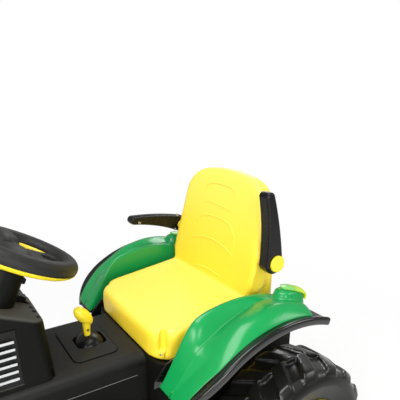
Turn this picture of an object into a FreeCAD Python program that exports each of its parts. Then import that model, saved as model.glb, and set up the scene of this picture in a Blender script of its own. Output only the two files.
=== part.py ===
import FreeCAD, Part
import Sketcher
import math
import os
from types import SimpleNamespace

# Ride-on tractor toy: X is across with +X to the rider's left, the nose points to -Y, Z is up
# and the wheels stand on Z = 0. Lengths are in millimetres and angles in degrees.

SIZES = {
    # body shell
    "axle_rise": 35,
    "tub_depth": 168,
    "cover_rise": 38,
    "wall": 4,
    "fit": 0.3,
    "console_width": 220,
    "console_length": 287,
    "console_edge": 22,
    "base_step": 50,
    "corner_flat": 2,
    "base_front": 92,
    "base_length": 338,
    "nose_inset": 15,
    "nose_length": 285,
    "nose_lift": 27,
    # rear wheels
    "rear_radius": 167,
    "rear_width": 128,
    "rear_gap": 37,
    "axle_setback": 238,
    "rear_rim_radius": 92,
    "lug_height": 10,
    "lug_count": 16,
    "axle_radius": 6,
    # front wheels and steering
    "front_radius": 115,
    "front_width": 82,
    "front_gap": 21,
    "front_rim_radius": 62,
    "kingpin_x": 170,
    "beam_lift": 11,
    "beam_depth": 34,
    "steer_arm_depth": 8.4,
    "arm_length": 41,
    "steer_offset": 23,
    "steer_rise": 217,
    "steer_tilt": 26.7,
    "rim_radius": 92,
    "grip_radius": 17,
    "hub_radius": 36,
    # mudguards and fenders
    "guard_lead": 30,
    "guard_drop": 2,
    "guard_radius": 262,
    "guard_width": 136,
    "guard_step": 37,
    "guard_lip": 15,
    "guard_front_angle": 58,
    "guard_rear_angle": 21.5,
    "fender_gap": 0.8,
    "fender_inset": 18,
    "fender_width": 92,
    "fender_rise": 45,
    "skirt_width": 4.7,
    # seat and armrests
    "seat_inset": 6,
    "seat_setback": 3,
    "seat_front_height": 58,
    "cushion_length": 209,
    "cushion_rise": 84,
    "back_inset": 23,
    "back_height": 253.5,
    "seat_lean": 12,
    "seat_taper": 4,
    "seat_thickness": 38,
    "heel_depth": 30,
    "arm_rise": 74,
    "arm_setback": 21.4,
    "arm_gap": 8,
    "arm_thickness": 28,
    "arm_reach": 146,
    "arm_down_angle": 8.8,
    "arm_up_angle": 79.2,
    # cowl, dash and shifter
    "cowl_inset": 18,
    "cowl_depth": 121,
    "cowl_slope": 13,
    "dash_rise": 100,
    "dash_slope": 22,
    "vent_width": 60,
    "vent_lift": 8,
    "vent_margin": 18.6,
    "slat_count": 8,
    "column_radius": 25,
    "gate_margin": 20,
    "gate_front_margin": 22,
    "gate_rear_margin": 7,
    "shift_setback": 74,
    "shift_drop": 16,
    "drum_radius": 30,
    "drum_width": 48,
    "shift_lean": 12,
    "knob_rise": 96,
    "knob_height": 47,
    "knob_radius": 13.5,
    # hood and nose
    "hood_overlap": 7,
    "skirt_drop": 42,
    "hood_step": 14,
    "hood_fall": 36,
    "hood_reach": 26,
    "weight_depth": 40,
    "battery_length": 98,
    "battery_height": 94,
    # running gear
    "footboard_rise": 18,
    "footboard_width": 130,
    "footboard_length": 209,
    "footboard_gap": 8,
    "pedal_width": 64,
    "hitch_rise": 64,
    "hitch_length": 90,
    "hitch_hole": 6.5,
}


class Size:
    """A dimension: its number and the sheet formula that gives it."""

    def __init__(self, value, text):
        self.value = value
        self.text = text

    @staticmethod
    def of(amount):
        if isinstance(amount, Size):
            return amount
        return Size(float(amount), f"({float(amount)!r})")

    def joined(self, other, value, sign):
        return Size(value, f"({self.text} {sign} {other.text})")

    def __add__(self, other):
        other = Size.of(other)
        return self.joined(other, self.value + other.value, "+")

    def __sub__(self, other):
        other = Size.of(other)
        return self.joined(other, self.value - other.value, "-")

    def __mul__(self, other):
        other = Size.of(other)
        return self.joined(other, self.value * other.value, "*")

    def __truediv__(self, other):
        other = Size.of(other)
        return self.joined(other, self.value / other.value, "/")

    def __radd__(self, other):
        return Size.of(other) + self

    def __rsub__(self, other):
        return Size.of(other) - self

    def __rmul__(self, other):
        return Size.of(other) * self

    def __rtruediv__(self, other):
        return Size.of(other) / self

    def __neg__(self):
        return Size.of(0) - self


def cosine(angle):
    return Size(math.cos(math.radians(angle.value)), f"cos({angle.text})")


def sine(angle):
    return Size(math.sin(math.radians(angle.value)), f"sin({angle.text})")


def tangent(angle):
    return Size(math.tan(math.radians(angle.value)), f"tan({angle.text})")


def root(amount):
    return Size(math.sqrt(amount.value), f"sqrt({amount.text})")


doc = FreeCAD.newDocument("ride_on_tractor")
sheet = doc.addObject("Spreadsheet::Sheet", "sizes")
for row, (alias, number) in enumerate(SIZES.items(), start=1):
    sheet.set(f"A{row}", alias)
    sheet.set(f"B{row}", str(number))
    sheet.setAlias(f"B{row}", alias)
doc.recompute()
S = SimpleNamespace(**{alias: Size(float(sheet.get(alias)), f"sizes.{alias}") for alias in SIZES})
NODES = []


def bind(item, name, amount):
    item.setExpression(name, Size.of(amount).text)


def node(item, label):
    """Name a finished sub-part, which is then written to its own file."""
    item.Label = label
    NODES.append(item)
    return item


def place(item, x=0, y=0, z=0, axis=None, angle=0):
    """Set a sub-part down at a point, turned by a positive angle about an axis."""
    if axis:
        item.Placement = FreeCAD.Placement(FreeCAD.Vector(), FreeCAD.Rotation(FreeCAD.Vector(*axis), 1))
        bind(item, "Placement.Rotation.Angle", angle)
    for letter, amount in zip("xyz", (x, y, z)):
        bind(item, f"Placement.Base.{letter}", amount)
    return item


def new_body(label):
    return node(doc.addObject("PartDesign::Body", label), label)


def sketch(body, plane, offset=0):
    """An empty sketch on one of the body's own planes; an XZ sketch is offset towards -Y."""
    item = body.newObject("Sketcher::SketchObject", f"{body.Name}_sketch")
    support = next(feature for feature in body.Origin.OriginFeatures if feature.Role == f"{plane}_Plane")
    item.AttachmentSupport = [(support, "")]
    item.MapMode = "FlatFace"
    bind(item, "AttachmentOffset.Base.z", offset)
    return item


def fix_point(item, geometry, position, u, v):
    """Tie one sketch point to the sketch origin with two dimensions from the sheet."""
    for kind, amount in (("DistanceX", Size.of(u)), ("DistanceY", Size.of(v))):
        index = item.addConstraint(Sketcher.Constraint(kind, -1, 1, geometry, position, amount.value))
        item.setExpression(f"Constraints[{index}]", amount.text)


def fix_radius(item, geometry, radius):
    index = item.addConstraint(Sketcher.Constraint("Radius", geometry, radius.value))
    item.setExpression(f"Constraints[{index}]", radius.text)


def arc_between(start, finish, radius):
    """The shorter arc of a signed radius from one point to the next; plus turns left."""
    turn = math.copysign(1, radius)
    chord = finish - start
    rise = math.sqrt(max(radius * radius - chord.Length ** 2 / 4, 0))
    left = FreeCAD.Vector(-chord.y, chord.x, 0).normalize()
    centre = (start + finish) / 2 + left * turn * rise
    spokes = [point - centre for point in (start, finish)]
    angles = [math.atan2(spoke.y, spoke.x) for spoke in spokes]
    if turn < 0:
        angles.reverse()
    circle = Part.Circle(centre, FreeCAD.Vector(0, 0, 1), abs(radius))
    return Part.ArcOfCircle(circle, angles[0], angles[1])


def outline(item, points):
    """Draw a closed loop. A third figure on a point is the signed radius of the arc that leaves it."""
    first = item.GeometryCount
    count = len(points)
    corners = [FreeCAD.Vector(Size.of(p[0]).value, Size.of(p[1]).value, 0) for p in points]
    ends = []
    for index, point in enumerate(points):
        start = corners[index]
        finish = corners[(index + 1) % count]
        if len(point) == 3:
            radius = Size.of(point[2])
            item.addGeometry(arc_between(start, finish, radius.value), False)
            ends.append((1, 2) if radius.value > 0 else (2, 1))
        else:
            item.addGeometry(Part.LineSegment(start, finish), False)
            ends.append((1, 2))
    for index, point in enumerate(points):
        following = (index + 1) % count
        item.addConstraint(Sketcher.Constraint(
            "Coincident", first + index, ends[index][1], first + following, ends[following][0]))
        fix_point(item, first + index, ends[index][0], point[0], point[1])
        if len(point) == 3:
            radius = Size.of(point[2])
            fix_radius(item, first + index, radius if radius.value > 0 else -radius)
    return item


def ring(item, u, v, radius):
    """Draw a full circle."""
    radius = Size.of(radius)
    centre = FreeCAD.Vector(Size.of(u).value, Size.of(v).value, 0)
    index = item.addGeometry(Part.Circle(centre, FreeCAD.Vector(0, 0, 1), radius.value), False)
    fix_point(item, index, 3, u, v)
    fix_radius(item, index, radius)
    return item


def rectangle(x0, x1, y0, y1):
    return [(x0, y0), (x1, y0), (x1, y1), (x0, y1)]


def rounded(x0, x1, y0, y1, radius):
    """A rectangle with round corners, drawn counter-clockwise."""
    return [
        (x0 + radius, y0), (x1 - radius, y0, radius),
        (x1, y0 + radius), (x1, y1 - radius, radius),
        (x1 - radius, y1), (x0 + radius, y1, radius),
        (x0, y1 - radius), (x0, y0 + radius, radius),
    ]


def feature(body, kind, profile):
    item = body.newObject(f"PartDesign::{kind}", f"{body.Name}_{kind.lower()}")
    item.Profile = profile
    body.Tip = item
    return item


def pad(body, profile, length, both=False, back=False):
    item = feature(body, "Pad", profile)
    bind(item, "Length", length)
    item.Reversed = back
    item.SideType = "Symmetric" if both else "One side"
    return item


def pocket(body, profile, length, both=False, back=False):
    item = feature(body, "Pocket", profile)
    bind(item, "Length", length)
    item.Reversed = back
    item.SideType = "Symmetric" if both else "One side"
    return item


def turned(body, profile, kind="Revolution", axis="H_Axis", angle=360):
    item = feature(body, kind, profile)
    item.ReferenceAxis = (profile, [axis])
    bind(item, "Angle", angle)
    return item


def loft(body, profiles, kind="AdditiveLoft"):
    item = feature(body, kind, profiles[0])
    item.Sections = profiles[1:]
    item.Ruled = True
    return item


def around(body, original, count, role):
    """Repeat a feature round one of the body's own axes."""
    item = body.newObject("PartDesign::PolarPattern", f"{body.Name}_pattern")
    item.Originals = [original]
    axis = next(entry for entry in body.Origin.OriginFeatures if entry.Role == role)
    item.Axis = (axis, [""])
    item.Angle = 360
    bind(item, "Occurrences", count)
    body.Tip = item
    return item


def rounding(body, radius, wanted):
    """Round every edge of the body so far whose middle point and edge pass the test."""
    doc.recompute()
    base = body.Tip
    names = []
    for number, edge in enumerate(base.Shape.Edges, start=1):
        middle = edge.valueAt((edge.FirstParameter + edge.LastParameter) / 2)
        if wanted(middle, edge):
            names.append(f"Edge{number}")
    item = body.newObject("PartDesign::Fillet", f"{body.Name}_fillet")
    item.Base = (base, names)
    bind(item, "Radius", radius)
    body.Tip = item
    return item


def runs_along(edge, axis):
    """Whether an edge is straight and parallel to an axis given by its letter."""
    if edge.Curve.TypeId != "Part::GeomLine":
        return False
    return abs(getattr(edge.Curve.Direction, axis)) > 0.999


def near(number, amount, slack=0.5):
    return abs(number - Size.of(amount).value) < slack


def box(x0, x1, y0, y1, z0, z1, label="block"):
    item = doc.addObject("Part::Box", label)
    for name, low, high in (("Length", x0, x1), ("Width", y0, y1), ("Height", z0, z1)):
        bind(item, name, Size.of(high) - low)
    return place(item, x0, y0, z0)


TURNS = {"x": ((0, 1, 0), 90), "y": ((-1, 0, 0), 90), "z": (None, 0)}


def rod(radius, length, x, y, z, along="z", label="rod"):
    """A round bar that starts at a point and runs along +X, +Y or +Z."""
    item = doc.addObject("Part::Cylinder", label)
    bind(item, "Radius", radius)
    bind(item, "Height", length)
    axis, angle = TURNS[along]
    return place(item, x, y, z, axis, angle)


def fused(items, label):
    item = doc.addObject("Part::MultiFuse", label)
    item.Shapes = items
    item.Refine = True
    return item


def without(base, tool, label):
    item = doc.addObject("Part::Cut", label)
    item.Base = base
    item.Tool = tool
    return item


def together(items, label):
    """Several separate solids that share one name."""
    item = doc.addObject("Part::Compound", label)
    item.Links = items
    return item


def mirrored(source, label):
    """The right-hand twin of a left-hand sub-part."""
    item = doc.addObject("Part::Mirroring", label)
    item.Source = source
    item.Normal = (1, 0, 0)
    item.Base = (0, 0, 0)
    return item


def twin(source):
    """Hand the right-hand twin of a left_ sub-part in as a sub-part of its own."""
    label = source.Label.replace("left_", "right_")
    return node(mirrored(source, label), label)


# Places that follow from the sizes, from the ground up and from the seat part forwards
half_console = S.console_width / 2
half_base = half_console + S.base_step
half_nose = half_console - S.nose_inset
base_corner = S.base_step - S.corner_flat
body_rear = S.base_front + S.base_length
cowl_front = S.base_front - S.console_length
cowl_rear = cowl_front + S.cowl_depth
nose_front = cowl_front - S.nose_length
floor_height = S.rear_radius - S.axle_rise
seam_height = floor_height + S.tub_depth
deck_height = seam_height + S.cover_rise
seat_deck_height = deck_height - S.wall
rear_axle_y = S.base_front + S.axle_setback
rear_inside = half_base + S.rear_gap
front_inside = S.kingpin_x + S.front_gap
boss_overhang = 4
tie_thickness = 8
beam_low = S.front_radius + S.beam_lift
beam_high = beam_low + S.beam_depth
boss_low = beam_low - boss_overhang
boss_high = beam_high + boss_overhang
tie_rod_height = boss_high + S.steer_arm_depth + 2 * S.fit + tie_thickness / 2
nose_floor = tie_rod_height + S.nose_lift
steer_y = cowl_rear - S.steer_offset
steer_height = deck_height + S.steer_rise
dash_rear_height = deck_height + S.dash_rise
shift_y = S.base_front - S.shift_setback
shift_height = deck_height - S.shift_drop
gate_front = shift_y - S.drum_radius - S.gate_front_margin
gate_rear = shift_y + S.drum_radius + S.gate_rear_margin


def steering_axis_y(height):
    """Where the leaning steering axis passes a height."""
    return steer_y - (steer_height - height) * tangent(S.steer_tilt)


# The tie rod, the two steering arms and the front axle form a parallelogram, so the axle lies one arm
# length behind the crank pin and the crank is as long as the arms.
crank_axis_y = steering_axis_y(tie_rod_height)
front_axle_y = crank_axis_y - S.arm_length * (1 / cosine(S.steer_tilt) - 1)
crank_pin_y = front_axle_y - S.arm_length


# Chassis tub: an open trough, wide under the seat and narrow and shallow at the nose

def base_plan(inset):
    """Plan of the body with a narrow console part and a round-cornered seat part."""
    console = half_console - inset
    base = half_base - inset
    front = cowl_front + inset
    step = S.base_front + inset
    rear = body_rear - inset
    bend = base_corner - inset
    return [
        (-console, front), (console, front), (console, step),
        (base - bend, step, bend), (base, step + bend),
        (base, rear), (-base, rear),
        (-base, step + bend, bend), (bend - base, step), (-console, step),
    ]


tub = new_body("chassis_tub")
pad(tub, outline(sketch(tub, "XY", floor_height), base_plan(0)), seam_height - floor_height)
pocket(tub, outline(sketch(tub, "XY", seam_height), base_plan(S.wall)),
       seam_height - floor_height - S.wall)
nose_plan = rectangle(-half_nose, half_nose, nose_front, cowl_front)
pad(tub, outline(sketch(tub, "XY", nose_floor), nose_plan), seam_height - nose_floor)
nose_hollow = rectangle(S.wall - half_nose, half_nose - S.wall, nose_front + S.wall, cowl_front - S.wall)
pocket(tub, outline(sketch(tub, "XY", seam_height), nose_hollow), seam_height - nose_floor - S.wall)
shaft_hole = ring(sketch(tub, "XY", nose_floor + S.wall), 0, steering_axis_y(nose_floor), 16)
pocket(tub, shaft_hole, 2 * S.wall)
running_gap = 0.08
axle_holes = ring(sketch(tub, "YZ"), rear_axle_y, S.rear_radius, S.axle_radius + running_gap)
motor_y = rear_axle_y - 80
motor_z = S.rear_radius + 18
motor_radius = 19
ring(axle_holes, motor_y, motor_z, motor_radius + 1)
pocket(tub, axle_holes, 2 * half_base + 10, both=True)

# Console cover: the moulded top between the rider's legs, with a hole for the shift gate
gate_lip = 1.5
console = new_body("console_cover")
console_plan = rectangle(-half_console, half_console, cowl_front, S.base_front)
pad(console, outline(sketch(console, "XY", seam_height), console_plan), deck_height - seam_height)
rounding(console, S.console_edge,
         lambda middle, edge: runs_along(edge, "y") and near(middle.z, deck_height))
console_hollow = rectangle(S.wall - half_console, half_console - S.wall,
                           cowl_front + S.wall, S.base_front - S.wall)
pocket(console, outline(sketch(console, "XY", seam_height), console_hollow),
       deck_height - seam_height - S.console_edge, back=True)
inner_edge = half_console - S.console_edge
console_recess = rectangle(-inner_edge, inner_edge, cowl_front + S.wall, S.base_front - S.wall)
pocket(console, outline(sketch(console, "XY", seam_height), console_recess),
       deck_height - seam_height - S.wall, back=True)
half_gate = inner_edge - S.gate_margin
gate_corner = 15
gate_hole = rounded(-half_gate - gate_lip, half_gate + gate_lip,
                    gate_front - gate_lip, gate_rear + gate_lip, gate_corner + gate_lip)
pocket(console, outline(sketch(console, "XY", deck_height), gate_hole), 2 * S.wall)

# Seat deck: the round-cornered platform that carries the seat
deck = new_body("seat_deck")


def deck_plan(inset):
    base = half_base - inset
    front = S.base_front + inset
    rear = body_rear - inset
    bend = base_corner - inset
    return [
        (bend - base, front), (base - bend, front, bend), (base, front + bend),
        (base, rear), (-base, rear), (-base, front + bend, bend),
    ]


pad(deck, outline(sketch(deck, "XY", seam_height), deck_plan(0)), seat_deck_height - seam_height)
pocket(deck, outline(sketch(deck, "XY", seam_height), deck_plan(S.wall)),
       seat_deck_height - seam_height - S.wall, back=True)
rounding(deck, 3, lambda middle, edge: near(middle.z, seat_deck_height))

# Shift gate: a plate let into the console and held by a wider flange under it
gate = new_body("shift_gate")
gate_rise = 2
flange_width = 6
gate_plan = rounded(-half_gate, half_gate, gate_front, gate_rear, gate_corner)
under_console = deck_height - S.wall
pad(gate, outline(sketch(gate, "XY", under_console), gate_plan), S.wall + gate_rise)
flange_plan = rounded(-half_gate - flange_width, half_gate + flange_width,
                      gate_front - flange_width, gate_rear + flange_width, gate_corner)
pad(gate, outline(sketch(gate, "XY", under_console), flange_plan), S.wall, back=True)
drum_gap = 1.5
gate_top = deck_height + gate_rise
half_drum = S.drum_width / 2
flange_rise = under_console - S.wall - shift_height
opening_half = root(S.drum_radius * S.drum_radius - flange_rise * flange_rise)
opening_corner = 12
opening_plan = rounded(-half_drum - drum_gap, half_drum + drum_gap,
                       shift_y - opening_half - drum_gap, shift_y + opening_half + drum_gap, opening_corner)
pocket(gate, outline(sketch(gate, "XY", gate_top), opening_plan), 3 * S.wall + gate_rise)
rounding(gate, 1, lambda middle, edge: near(middle.z, gate_top))
ear_inside = half_drum + 2
ear_width = 6
ear_depth = 10
ear_drop = shift_height - ear_depth
pivot_radius = 4
half_ear = 9
for side in (-1, 1):
    ear_plan = rectangle(shift_y - half_ear, shift_y + half_ear, ear_drop, under_console - S.wall)
    ear_start = ear_inside if side > 0 else -ear_inside
    pad(gate, outline(sketch(gate, "YZ", ear_start), ear_plan), ear_width, back=side < 0)
ear_holes = ring(sketch(gate, "YZ"), shift_y, shift_height, pivot_radius + running_gap)
pocket(gate, ear_holes, 3 * S.drum_width, both=True)

# Shift drum: a round-edged saddle that turns in the gate on two stub pins and closes the opening
drum = new_body("shift_drum")
drum_edge = 10
saddle = [
    (-half_drum, 0), (half_drum, 0), (half_drum, S.drum_radius - drum_edge, drum_edge),
    (half_drum - drum_edge, S.drum_radius), (drum_edge - half_drum, S.drum_radius, drum_edge),
    (-half_drum, S.drum_radius - drum_edge),
]
turned(drum, outline(sketch(drum, "XZ"), saddle))
pad(drum, ring(sketch(drum, "YZ"), 0, 0, pivot_radius), 2 * (ear_inside + ear_width), both=True)
stem_radius = 6.5
socket_depth = 14
socket_gap = 0.02
pocket(drum, ring(sketch(drum, "XY", S.drum_radius), 0, 0, stem_radius + socket_gap), socket_depth)
place(drum, 0, shift_y, shift_height, (1, 0, 0), S.shift_lean)

# Shift knob: a yellow egg on a short stem, pressed into the drum
knob = new_body("shift_knob")
egg_foot = S.knob_rise - S.knob_height
egg_middle = S.knob_rise - S.knob_radius
egg_side = 45
stem_foot = S.drum_radius - socket_depth
knob_profile = [
    (0, stem_foot), (stem_radius, stem_foot), (stem_radius, egg_foot, egg_side),
    (S.knob_radius, egg_middle, S.knob_radius), (0, S.knob_rise),
]
turned(knob, outline(sketch(knob, "XZ"), knob_profile), axis="V_Axis")
place(knob, 0, shift_y, shift_height, (1, 0, 0), S.shift_lean)

# Shift switch: a small block under the gate, beside the left pivot ear
switch_inside = ear_inside + ear_width + S.fit
switch_width = 16
half_switch = 14
switch_drop = ear_drop - 4
node(box(switch_inside, switch_inside + switch_width, shift_y - half_switch, shift_y + half_switch,
         switch_drop, under_console - S.wall), "shift_switch")

# Dash cowl: a tapering block with a sloping dash, open in front and below
cowl = new_body("dash_cowl")
crest_flat = 7
cowl_top = dash_rear_height + S.cowl_depth * tangent(S.dash_slope) - crest_flat
cowl_height = cowl_top - deck_height
half_cowl = half_console - S.cowl_inset
half_cowl_top = half_cowl - cowl_height * tangent(S.cowl_slope)
rear_lean = 8
cowl_low = outline(sketch(cowl, "XY", deck_height), rectangle(-half_cowl, half_cowl, cowl_front, cowl_rear))
cowl_high = outline(sketch(cowl, "XY", cowl_top),
                    rectangle(-half_cowl_top, half_cowl_top, cowl_front, cowl_rear - rear_lean))
loft(cowl, [cowl_low, cowl_high])
spare = 10
dash_fall = spare * tangent(S.dash_slope)
dash_line = [
    (cowl_rear + spare, dash_rear_height - dash_fall), (cowl_rear + spare, cowl_top + 4 * spare),
    (cowl_front - spare, cowl_top + 4 * spare),
    (cowl_front - spare, dash_rear_height + S.cowl_depth * tangent(S.dash_slope) + dash_fall),
]
pocket(cowl, outline(sketch(cowl, "YZ"), dash_line), 2 * S.console_width, both=True)
rear_corner_round = 20
dash_edge_round = 7
rounding(cowl, rear_corner_round, lambda middle, edge: near(middle.y, cowl_rear, rear_lean + 1)
         and abs(middle.x) > half_cowl_top.value / 2
         and middle.z < dash_rear_height.value - rear_corner_round and not runs_along(edge, "x"))
rounding(cowl, dash_edge_round, lambda middle, edge: middle.z > dash_rear_height.value - 12
         and middle.y > cowl_front.value + 4)
cowl_hollow = rectangle(S.wall - half_cowl, half_cowl - S.wall, cowl_front + S.wall, cowl_rear - S.wall)
hollow_height = S.dash_rise - 2 * S.wall
hollow = pocket(cowl, outline(sketch(cowl, "XY", deck_height), cowl_hollow), hollow_height, back=True)
bind(hollow, "TaperAngle", -S.cowl_slope)
dash_under = dash_rear_height - 3 * S.wall
opening_rear = cowl_rear - 9 * S.wall
front_opening = [
    (cowl_front - 1, deck_height - 1), (opening_rear, deck_height - 1),
    (opening_rear, dash_under + 9 * S.wall * tangent(S.dash_slope)),
    (cowl_front - 1, dash_under + S.cowl_depth * tangent(S.dash_slope)),
]
pocket(cowl, outline(sketch(cowl, "YZ"), front_opening), 2 * half_cowl_top - 2 * S.wall, both=True)
column_hole = 18
hole_rise = 24
dash_hole_y = steering_axis_y(dash_rear_height + hole_rise)
pocket(cowl, ring(sketch(cowl, "XY", cowl_top + 30), 0, dash_hole_y, column_hole), 90)

# Louvres: a black panel let into each side of the cowl with a stack of silver slats on it
vent_front = cowl_front + 5
vent_rear = vent_front + S.vent_width
vent_foot = deck_height + S.vent_lift
vent_height = (S.dash_rise + (cowl_rear - vent_rear) * tangent(S.dash_slope)
               - S.vent_lift - S.vent_margin)
vent_window = rectangle(vent_front, vent_rear, vent_foot, vent_foot + vent_height)
pocket(cowl, outline(sketch(cowl, "YZ"), vent_window), 2 * S.console_width, both=True)
vent_x = half_cowl - S.vent_lift * tangent(S.cowl_slope)
vent_length = vent_height / cosine(S.cowl_slope)
panel_depth = 1.5
panel_foot = 1.5
panel_head = 2
slat_side = 6
slat_foot = 8
slat_rise = 0.8
slat_height = 4.6
slat_pitch = (vent_length - slat_foot - slat_side) / S.slat_count
panel = box(-S.wall, -panel_depth, vent_front + S.fit, vent_rear - S.fit, panel_foot, vent_length - panel_head)
slats = [box(-panel_depth, slat_rise, vent_front + slat_side, vent_rear - slat_side,
             slat_foot + slat_pitch * index, slat_foot + slat_pitch * index + slat_height)
         for index in range(int(S.slat_count.value))]


def leaned(items, label):
    """Loose solids on the sloping left side of the cowl, with their twins on the right."""
    left = together(items, f"{label}_left")
    place(left, vent_x, 0, vent_foot, (0, -1, 0), S.cowl_slope)
    return node(together([left, mirrored(left, f"{label}_right")], label), label)


leaned([panel], "vent_panels")
leaned(slats, "vent_slats")

# Steering column cover: a cone that grows out of the dash along the leaning steering axis
column_drop = ((steer_height - dash_rear_height - (cowl_rear - steer_y) * tangent(S.dash_slope))
               / (cosine(S.steer_tilt) + sine(S.steer_tilt) * tangent(S.dash_slope)))
hub_foot = 25
shaft_radius = 5
column = new_body("column_cover")
collar_radius = S.column_radius + 5
column_profile = [
    (shaft_radius + running_gap, -column_drop - 6), (S.column_radius + 3, -column_drop - 6),
    (S.column_radius, -hub_foot - 12), (collar_radius, -hub_foot - 8),
    (collar_radius, -hub_foot), (shaft_radius + running_gap, -hub_foot),
]
turned(column, outline(sketch(column, "XZ"), column_profile), axis="V_Axis")
lean_gap = tangent(S.steer_tilt - S.dash_slope) * 60
below_dash = [(-60, -column_drop - lean_gap), (60, -column_drop + lean_gap),
              (60, -column_drop - 40), (-60, -column_drop - 40)]
pocket(column, outline(sketch(column, "YZ"), below_dash), 200, both=True)
place(column, 0, steer_y, steer_height, (-1, 0, 0), S.steer_tilt)

# Instrument pod: a small hooded housing on the dash at the rider's right
pod = new_body("instrument_pod")
pod_front = -46
pod_rear = -12
pod_height = 13
pod_width = 44
pod_profile = [(pod_rear, 0), (pod_front, 0), (pod_front + 4, pod_height - 3), (pod_front + 12, pod_height),
               (pod_rear - 10, pod_height - 3), (pod_rear - 10, 4), (pod_rear, 2)]
pad(pod, outline(sketch(pod, "YZ", -half_cowl_top), pod_profile), pod_width)
rounding(pod, 2, lambda middle, edge: middle.z > 3.5 and runs_along(edge, "x"))
place(pod, 0, cowl_rear, dash_rear_height, (-1, 0, 0), S.dash_slope)

# Steering wheel: black upper shell with a hub and three raised spokes, in the frame of the leaning axis
split = -7
grip_half = root(S.grip_radius * S.grip_radius - split * split)
wheel = new_body("steering_wheel")
upper_rim = [
    (S.rim_radius - grip_half, split), (S.rim_radius + grip_half, split, S.grip_radius),
    (S.rim_radius, S.grip_radius, S.grip_radius),
]
turned(wheel, outline(sketch(wheel, "XZ"), upper_rim), axis="V_Axis")
hub_top = 8
pad(wheel, ring(sketch(wheel, "XY", S.fit - hub_foot), 0, 0, S.hub_radius), hub_foot + hub_top - S.fit)
spoke_thickness = hub_top - split
spoke_reach = S.rim_radius - grip_half + 6
spoke_root = S.hub_radius - 16
for side in (-1, 1):
    side_spoke = [(side * spoke_root, -27), (side * spoke_reach, -36), (side * spoke_reach, 18),
                  (side * spoke_root, 27)]
    pad(wheel, outline(sketch(wheel, "XY", split), side_spoke), spoke_thickness)
half_spoke = 24
pad(wheel, outline(sketch(wheel, "XY", split), rectangle(-half_spoke, half_spoke, spoke_root, spoke_reach)),
    spoke_thickness)
slot_half = 15
slot_inner = S.hub_radius + 12
slot_outer = spoke_reach - 18
slot_plan = rounded(-slot_half, slot_half, slot_inner, slot_outer, (slot_outer - slot_inner) / 2 - 0.1)
pocket(wheel, outline(sketch(wheel, "XY", hub_top), slot_plan), 2 * spoke_thickness)
shaft_seat = 4
shaft_fit = 0.02
pocket(wheel, ring(sketch(wheel, "XY", -hub_foot), 0, 0, shaft_radius + shaft_fit), hub_foot - shaft_seat,
       back=True)
place(wheel, 0, steer_y, steer_height, (-1, 0, 0), S.steer_tilt)

# Steering trim: the yellow lower half of the rim
trim = new_body("steering_trim")
lower_rim = [
    (S.rim_radius - grip_half, split, S.grip_radius), (S.rim_radius, -S.grip_radius, S.grip_radius),
    (S.rim_radius + grip_half, split),
]
turned(trim, outline(sketch(trim, "XZ"), lower_rim), axis="V_Axis")
place(trim, 0, steer_y, steer_height, (-1, 0, 0), S.steer_tilt)

# Hub pad: the soft cap over the middle of the steering wheel
pad_thickness = 5
pad_margin = 6
hub_pad = new_body("steering_pad")
pad(hub_pad, ring(sketch(hub_pad, "XY", hub_top), 0, 0, S.hub_radius - pad_margin), pad_thickness)
rounding(hub_pad, 3, lambda middle, edge: near(middle.z, hub_top + pad_thickness))
place(hub_pad, 0, steer_y, steer_height, (-1, 0, 0), S.steer_tilt)

# Steering shaft: a bent steel bar whose crank pin drops through the tie rod
crank_height = tie_rod_height + 17
crank_y = steering_axis_y(crank_height)
shaft_length = (steer_height - crank_height) / cosine(S.steer_tilt) - shaft_seat
shaft = rod(shaft_radius, shaft_length, 0, crank_y, crank_height)
place(shaft, 0, crank_y, crank_height, (-1, 0, 0), S.steer_tilt)
crank_pin_radius = 4.5
crank_bar = rod(shaft_radius, crank_y - crank_pin_y, 0, crank_pin_y, crank_height, "y")
crank_pin = rod(crank_pin_radius, crank_height - tie_rod_height + 7, 0, crank_pin_y, tie_rod_height - 7)


def elbow(radius, x, y, z):
    item = doc.addObject("Part::Sphere", "elbow")
    bind(item, "Radius", radius)
    return place(item, x, y, z)


shaft_parts = [shaft, crank_bar, crank_pin, elbow(shaft_radius, 0, crank_y, crank_height),
               elbow(shaft_radius, 0, crank_pin_y, crank_height)]
node(fused(shaft_parts, "steering_shaft"), "steering_shaft")

# Rear wheels: a hollow tyre with two staggered rows of slanting lugs, on a dished hub
rear_outside = rear_inside + S.rear_width
rear_middle = rear_inside + S.rear_width / 2
tread_radius = S.rear_radius - S.lug_height
tyre_wall = 12
bead_inset = 13
tyre = new_body("left_rear_tyre")
rear_carcass = [
    (rear_inside + bead_inset, S.rear_rim_radius), (rear_inside + bead_inset + tyre_wall, S.rear_rim_radius),
    (rear_inside + tyre_wall, tread_radius - 28), (rear_inside + 20, tread_radius - tyre_wall),
    (rear_outside - 20, tread_radius - tyre_wall), (rear_outside - tyre_wall, tread_radius - 28),
    (rear_outside - bead_inset - tyre_wall, S.rear_rim_radius), (rear_outside - bead_inset, S.rear_rim_radius),
    (rear_outside, tread_radius - 26, 26), (rear_outside - 18, tread_radius),
    (rear_inside + 18, tread_radius, 26), (rear_inside, tread_radius - 26),
]
turned(tyre, outline(sketch(tyre, "XZ"), rear_carcass))
lug_foot = tread_radius - 8
lug_raise = S.lug_height + 18


def lug_plan(sign):
    """One slanting tread bar from the middle of the tread out past the shoulder."""
    inner = rear_middle - sign * 4
    outer = rear_middle + sign * (S.rear_width / 2 + 2)
    return [(inner, 14), (outer, -30), (outer, 2), (inner, 42)]


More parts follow.
